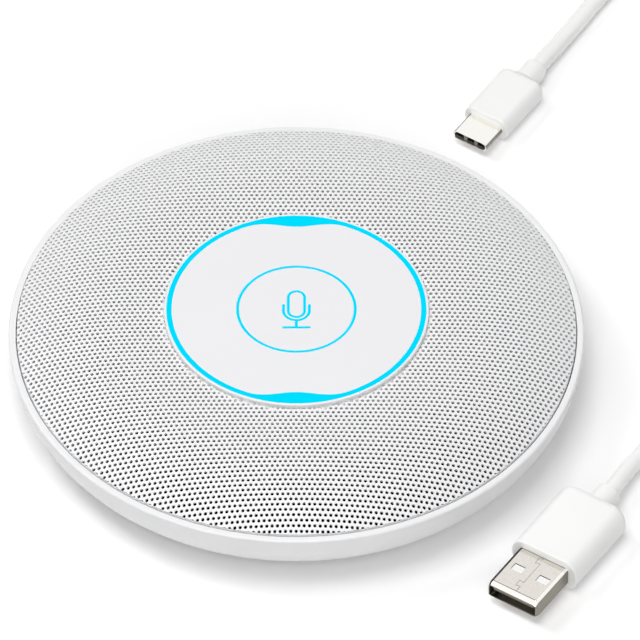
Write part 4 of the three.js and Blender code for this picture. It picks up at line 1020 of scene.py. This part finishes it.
class MICROPHONE_OT_grille(bpy.types.Operator):
    """Perforated dome in two halves, its plain edges, and the gauze under it"""

    bl_idname = "microphone.grille"
    bl_label = "Grille"

    field_inner, field_outer = 27.74, 58.08
    first_hole = (-0.02, -0.22)
    hole_sides = 8
    merge_within = 0.01

    edge_sheet, edge_lift, edge_foot = 0.3, 0.015, 19.0
    # The plain band, as insets from the grille's outer radius and drops from its edge
    band_insets = (0.28, 0.2, 0.12, 0.08)
    band_rim = ((0.06, 0.0), (0.03, 0.1), (0.03, 0.7), (0.3, 0.7))
    band_lean = 0.02

    gauze_inner, gauze_outer = 29.1, 57.7
    gauze_drop, gauze_thickness = 0.9, 0.3
    gauze_shares = (0, 0.15, 0.3, 0.45, 0.6, 0.7, 0.8, 0.87, 0.94, 1)

    def execute(self, context):
        sizes = context.scene.microphone_sizes
        field = self.flat_field(sizes)
        self.trim(field)
        for half in self.split(field):
            self.to_dome(half, sizes.edge_roll / MM)
            select(half)
            apply_modifier(half, "SOLIDIFY", thickness=sizes.sheet, offset=-1)
            dress(half, "powder_coat", BODY, "white_steel", "grille")
        self.edges(sizes.edge_roll / MM)
        self.gauze()
        return {"FINISHED"}

    def flat_field(self, sizes):
        """One hole in its square, beside one in the next row, half a pitch along, repeated."""
        pitch = sizes.hole_pitch
        count = round(GRILLE_OUTER * MM / pitch) + 1
        deselect_all()
        bpy.ops.mesh.primitive_circle_add(vertices=self.hole_sides, radius=sizes.hole_diameter / 2)
        cell = bpy.context.object
        cell.name = "grille_left"
        bpy.ops.object.mode_set(mode="EDIT")
        bpy.ops.mesh.extrude_edges_move()
        mesh = bmesh.from_edit_mesh(cell.data)
        for vertex in mesh.verts:
            if vertex.select:
                reach = max(abs(vertex.co.x), abs(vertex.co.y))
                vertex.co = vertex.co / reach * pitch / 2
        bmesh.update_edit_mesh(cell.data)
        bpy.ops.mesh.select_all(action="SELECT")
        bpy.ops.mesh.duplicate_move(TRANSFORM_OT_translate={"value": (pitch / 2, pitch, 0)})
        bpy.ops.mesh.select_all(action="SELECT")
        first = Vector((*self.first_hole, 0)) * MM
        bpy.ops.transform.translate(value=first - Vector((count * pitch, count // 2 * 2 * pitch, 0)))
        bpy.ops.object.mode_set(mode="OBJECT")
        for number, step in ((2 * count + 1, (pitch, 0, 0)), (count + 1, (0, 2 * pitch, 0))):
            apply_modifier(cell, "ARRAY", count=number, use_relative_offset=False,
                           use_constant_offset=True, constant_offset_displace=step)
        return cell

    def trim(self, field):
        """Deletes what lies outside the field and draws straddling corners to its edges."""
        inner, outer = self.field_inner * MM, self.field_outer * MM

        def outside(face):
            reaches = [vertex.co.length for vertex in face.verts]
            return min(reaches) >= outer or max(reaches) <= inner

        select_faces(field, outside)
        bpy.ops.mesh.delete(type="FACE")
        bpy.ops.mesh.select_mode(type="VERT")
        bpy.ops.mesh.select_all(action="SELECT")
        bpy.ops.mesh.remove_doubles(threshold=self.merge_within * MM)
        mesh = bmesh.from_edit_mesh(field.data)
        for vertex in mesh.verts:
            reach = vertex.co.length
            vertex.co *= min(max(reach, inner), outer) / reach
        bmesh.update_edit_mesh(field.data)
        tidy_mesh(field)

    def split(self, field):
        """The halves left and right of the middle, each small enough for its own file."""
        select_faces(field, lambda face: face.calc_center_median().x > 0)
        bpy.ops.mesh.separate(type="SELECTED")
        bpy.ops.mesh.select_mode(type="VERT")
        bpy.ops.object.mode_set(mode="OBJECT")
        right = next(piece for piece in bpy.context.selected_objects if piece != field)
        right.name = right.data.name = "grille_right"
        return field, right

    def to_dome(self, half, roll):
        """Raises the flat field to the dome and rolls its inner edge down."""
        start = GRILLE_INNER + roll
        for vertex in half.data.vertices:
            flat = vertex.co.to_2d().length / MM
            angle = math.atan2(vertex.co.y, vertex.co.x)
            bend = min(max((start - flat) / roll, 0), math.pi / 2)
            past = max(0, start - flat - roll * math.pi / 2)
            radius = start - roll * math.sin(bend) if flat < start else flat
            height = dome_top(radius) if flat >= start else (
                dome_top(start) - roll * (1 - math.cos(bend)) - past)
            vertex.co = polar(radius, angle, height) * MM

    def edges(self, roll):
        """Plain rolled edge round the centre, and the plain band under the lip."""
        centre = (GRILLE_INNER + roll, dome_top(GRILLE_INNER + roll) - roll)
        sheet, lift = self.edge_sheet, self.edge_lift
        outside = arc(centre, roll + lift, 140, 180, 4) + [(GRILLE_INNER - lift, self.edge_foot)]
        inside = [(GRILLE_INNER + sheet, self.edge_foot), (GRILLE_INNER + sheet, centre[1])]
        rolled = turned("rolled_edge", outside + inside)
        radii = [GRILLE_OUTER - inset for inset in self.band_insets]
        top = [(radius, dome_top(radius) + lift) for radius in radii]
        rim = [(GRILLE_OUTER - inset, EDGE_TOP - drop) for inset, drop in self.band_rim]
        under = [(radius - self.band_lean, height - sheet) for radius, height in reversed(top[:2])]
        edges = joined("grille_edges", rolled, turned("rim_band", top + rim + under))
        dress(edges, "powder_coat", BODY, "white_steel", "grille")

    def gauze(self):
        """Black gauze stretched over the frame, just under the sheet."""
        inner, outer = self.gauze_inner, self.gauze_outer
        radii = [inner + (outer - inner) * share for share in self.gauze_shares]
        top = [(radius, dome_top(radius) - self.gauze_drop) for radius in radii]
        bottom = [(radius, height - self.gauze_thickness) for radius, height in reversed(top)]
        gauze = turned("gauze_sheet", top + bottom, steps=ROUND_STEPS // 2)
        dress(gauze, "polyester_gauze", BODY, "black_cloth", "acoustic_cloth")


class MICROPHONE_OT_centre(bpy.types.Operator):
    """Bezel, light ring, panel and the halo round the key"""

    bl_idname = "microphone.centre"
    bl_label = "Centre"

    bezel_outer, bezel_rounding, bezel_chamfer = 27.62, 0.25, 0.06
    skirt_inner, skirt_outer = 22.4, 23.6
    flange_outer, flange_bottom, flange_top = 14.5, 18.9, 19.8

    def execute(self, context):
        inner, edge = LIGHT_OUTER + FACE_GAP, self.bezel_rounding
        bezel = turned("bezel_ring", [
            (inner, BEZEL_BOTTOM), (self.bezel_outer, BEZEL_BOTTOM),
            *arc((self.bezel_outer - edge, PANEL_TOP - edge), edge, 0, 90, 4),
            (inner + self.bezel_chamfer, PANEL_TOP), (inner, PANEL_TOP - self.bezel_chamfer)])
        dress(bezel, "moulded_abs", BODY, "white_abs", "centre_bezel")
        inner = LIGHT_OUTER - context.scene.microphone_sizes.light_width / MM
        guide = turned("light_ring_guide", [
            (LIGHT_OUTER, LIGHT_BOTTOM), (LIGHT_OUTER, PANEL_TOP), (light_edge, PANEL_TOP),
            (light_edge, PANEL_UNDERSIDE), (inner, PANEL_UNDERSIDE), (inner, LIGHT_BOTTOM)])
        dress(guide, "lit_acrylic", BODY, "cyan_light_guide", "light_ring")

        def panel_edge(angle):
            return light_edge(angle) - FACE_GAP

        bore = HALO_OUTER + FACE_GAP
        panel = turned("panel_plate", [
            (bore, PANEL_TOP), (panel_edge, PANEL_TOP), (panel_edge, PANEL_UNDERSIDE),
            (self.skirt_outer, PANEL_UNDERSIDE), (self.skirt_outer, LIGHT_BOTTOM),
            (self.skirt_inner, LIGHT_BOTTOM), (self.skirt_inner, PANEL_UNDERSIDE),
            (bore, PANEL_UNDERSIDE)])
        dress(panel, "satin_lacquer", BODY, "panel_plastic", "centre_panel")
        halo = turned("halo_ring", [
            (HALO_INNER, self.flange_bottom), (self.flange_outer, self.flange_bottom),
            (self.flange_outer, self.flange_top), (HALO_OUTER, self.flange_top),
            (HALO_OUTER, PANEL_TOP), (HALO_INNER, PANEL_TOP)])
        dress(halo, "lit_acrylic", BODY, "cyan_light_guide", "key_halo")
        return {"FINISHED"}


class MICROPHONE_OT_mute_key(bpy.types.Operator):
    """Round mute key with the generic microphone pictogram"""

    bl_idname = "microphone.mute_key"
    bl_label = "Mute key"

    post_radius, post_bottom = 2.0, 19.1
    hollow_radius = 10.8
    flange_outer, flange_bottom, flange_top = 13.0, 17.8, 18.8
    inlay_depth, inlay_lift = 0.6, 0.012

    capsule_width, capsule_height, capsule_middle = 3.98, 8.0, 1.42
    bracket_radius, bracket_middle, bracket_top = 3.0, -0.5, 1.44
    base_middle = -5.28

    def execute(self, context):
        cap = turned("key_cap", [
            (self.post_radius, self.post_bottom), (self.post_radius, PANEL_UNDERSIDE),
            (self.hollow_radius, PANEL_UNDERSIDE), (self.hollow_radius, self.flange_bottom),
            (self.flange_outer, self.flange_bottom), (self.flange_outer, self.flange_top),
            (HALO_INNER - FACE_GAP, self.flange_top), (HALO_INNER - FACE_GAP, PANEL_TOP)], closed=False)
        dress(cap, "satin_lacquer", KEY, "panel_plastic", "mute_key")
        line = context.scene.microphone_sizes.line_width / MM
        low, high = PANEL_TOP - self.inlay_depth, PANEL_TOP + self.inlay_lift
        capsule = flat_shape("pictogram_capsule", [self.capsule(0.0), self.capsule(line)], low, high)
        dress(capsule, "lit_acrylic", KEY, "cyan_light_guide", "icon_capsule")
        stand = flat_shape("pictogram_stand", [self.stand(line)], low, high)
        dress(stand, "lit_acrylic", KEY, "cyan_light_guide", "icon_stand")
        return {"FINISHED"}

    def capsule(self, inset):
        """Upright outline with round ends, inset from the capsule's outside."""
        width, height = self.capsule_width - 2 * inset, self.capsule_height - 2 * inset
        radius, reach = width / 2, (height - width) / 2
        upper = arc((0, self.capsule_middle + reach), radius, 0, 180, 16)
        lower = arc((0, self.capsule_middle - reach), radius, 180, 360, 16)
        return upper + lower

    def stand(self, line):
        """Bracket with round ends, stem and base line, as one outline."""
        half = line / 2
        outer, inner = self.bracket_radius, self.bracket_radius - line
        reach = outer - half
        centre = (0, self.bracket_middle)
        top, base = self.bracket_top - half, self.base_middle
        stem_angle = math.degrees(math.asin(half / outer))
        return [
            *arc((reach, top), half, 0, 180, 6),
            *arc(centre, inner, 0, -180, 20),
            *arc((-reach, top), half, 0, 180, 6),
            *arc(centre, outer, -180, -90 - stem_angle, 20),
            (-half, base + half),
            *arc((-reach, base), half, 90, 270, 6),
            *arc((reach, base), half, -90, 90, 6),
            (half, base + half),
            *arc(centre, outer, -90 + stem_angle, 0, 20),
        ]


class MICROPHONE_OT_inside(bpy.types.Operator):
    """Socket in the port, and finishes for the solids carried over from the CAD model"""

    bl_idname = "microphone.inside"
    bl_label = "Inside"

    socket_width, socket_height, socket_depth = 8.94, 3.2, 7.3
    socket_wall, socket_chamfer = 0.3, 0.06
    socket_corner, mouth_corner = 1.57, 1.5

    # By how a solid's name starts
    finishes = {
        "inner_frame": "dark_abs",
        "light_board": "solder_resist",
        "main_board": "solder_resist",
        "ring_led": "led_phosphor",
        "switch_body": "epoxy_black",
        "switch_plunger": "led_phosphor",
        "processor_chip": "epoxy_black",
        "board_link": "epoxy_black",
        "capacitor": "tinned_can",
        "mic_boot": "cured_rubber",
        "mic_capsule": "tinned_can",
        "board_screw": "zinc_plate",
        "usb_c_socket_tongue": "epoxy_black",
        "usb_a_contact": "gold_flash",
    }

    def execute(self, context):
        back, wall, chamfer = SOCKET_FACE - self.socket_depth, self.socket_wall, self.socket_chamfer
        corner, inner_corner = self.socket_corner, self.socket_corner - wall
        sections = [
            (back, 0.0, corner), (SOCKET_FACE - chamfer, 0.0, corner),
            (SOCKET_FACE, chamfer, self.mouth_corner), (SOCKET_FACE, wall, inner_corner),
            (back + wall, wall, inner_corner)]
        socket = lofted("usb_c_socket_shell", [
            port_outline(at, self.socket_width - 2 * inset, self.socket_height - 2 * inset, round_by)
            for at, inset, round_by in sections])
        dress(socket, "nickel_plate", BODY, "nickel_steel", "usb_c_socket")
        for name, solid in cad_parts.items():
            found = [self.finishes[start] for start in self.finishes if name.startswith(start)]
            if found:
                solid.data.materials.clear()
                solid.data.materials.append(bpy.data.materials[found[0]])
        return {"FINISHED"}


class MICROPHONE_PT_panel(bpy.types.Panel):
    """Sizes and colours, and one button for each group of pieces"""

    bl_idname = "MICROPHONE_PT_panel"
    bl_label = "Conference Microphone"
    bl_space_type = "VIEW_3D"
    bl_region_type = "UI"
    bl_category = "Microphone"

    def draw(self, context):
        for group in (context.scene.microphone_sizes, context.scene.microphone_colours):
            column = self.layout.column()
            for key in group.__annotations__:
                column.prop(group, key)
        for operator in OPERATORS:
            self.layout.operator(operator.bl_idname)


OPERATORS = (
    MICROPHONE_OT_stage,
    MICROPHONE_OT_cable,
    MICROPHONE_OT_plugs,
    MICROPHONE_OT_housing,
    MICROPHONE_OT_grille,
    MICROPHONE_OT_centre,
    MICROPHONE_OT_mute_key,
    MICROPHONE_OT_inside,
)
CLASSES = (MicrophoneSizes, MicrophoneColours, *OPERATORS, MICROPHONE_PT_panel)


def register():
    for item in CLASSES:
        bpy.utils.register_class(item)
    bpy.types.Scene.microphone_sizes = bpy.props.PointerProperty(type=MicrophoneSizes)
    bpy.types.Scene.microphone_colours = bpy.props.PointerProperty(type=MicrophoneColours)


def unregister():
    del bpy.types.Scene.microphone_colours
    del bpy.types.Scene.microphone_sizes
    for item in reversed(CLASSES):
        bpy.utils.unregister_class(item)


def main():
    register()
    make_materials()
    bpy.ops.microphone.stage()
    bpy.ops.microphone.cable()
    bpy.ops.microphone.plugs()
    bpy.ops.microphone.housing()
    bpy.ops.microphone.grille()
    bpy.ops.microphone.centre()
    bpy.ops.microphone.mute_key()
    bpy.ops.microphone.inside()
    deselect_all()


if __name__ == "__main__":
    main()
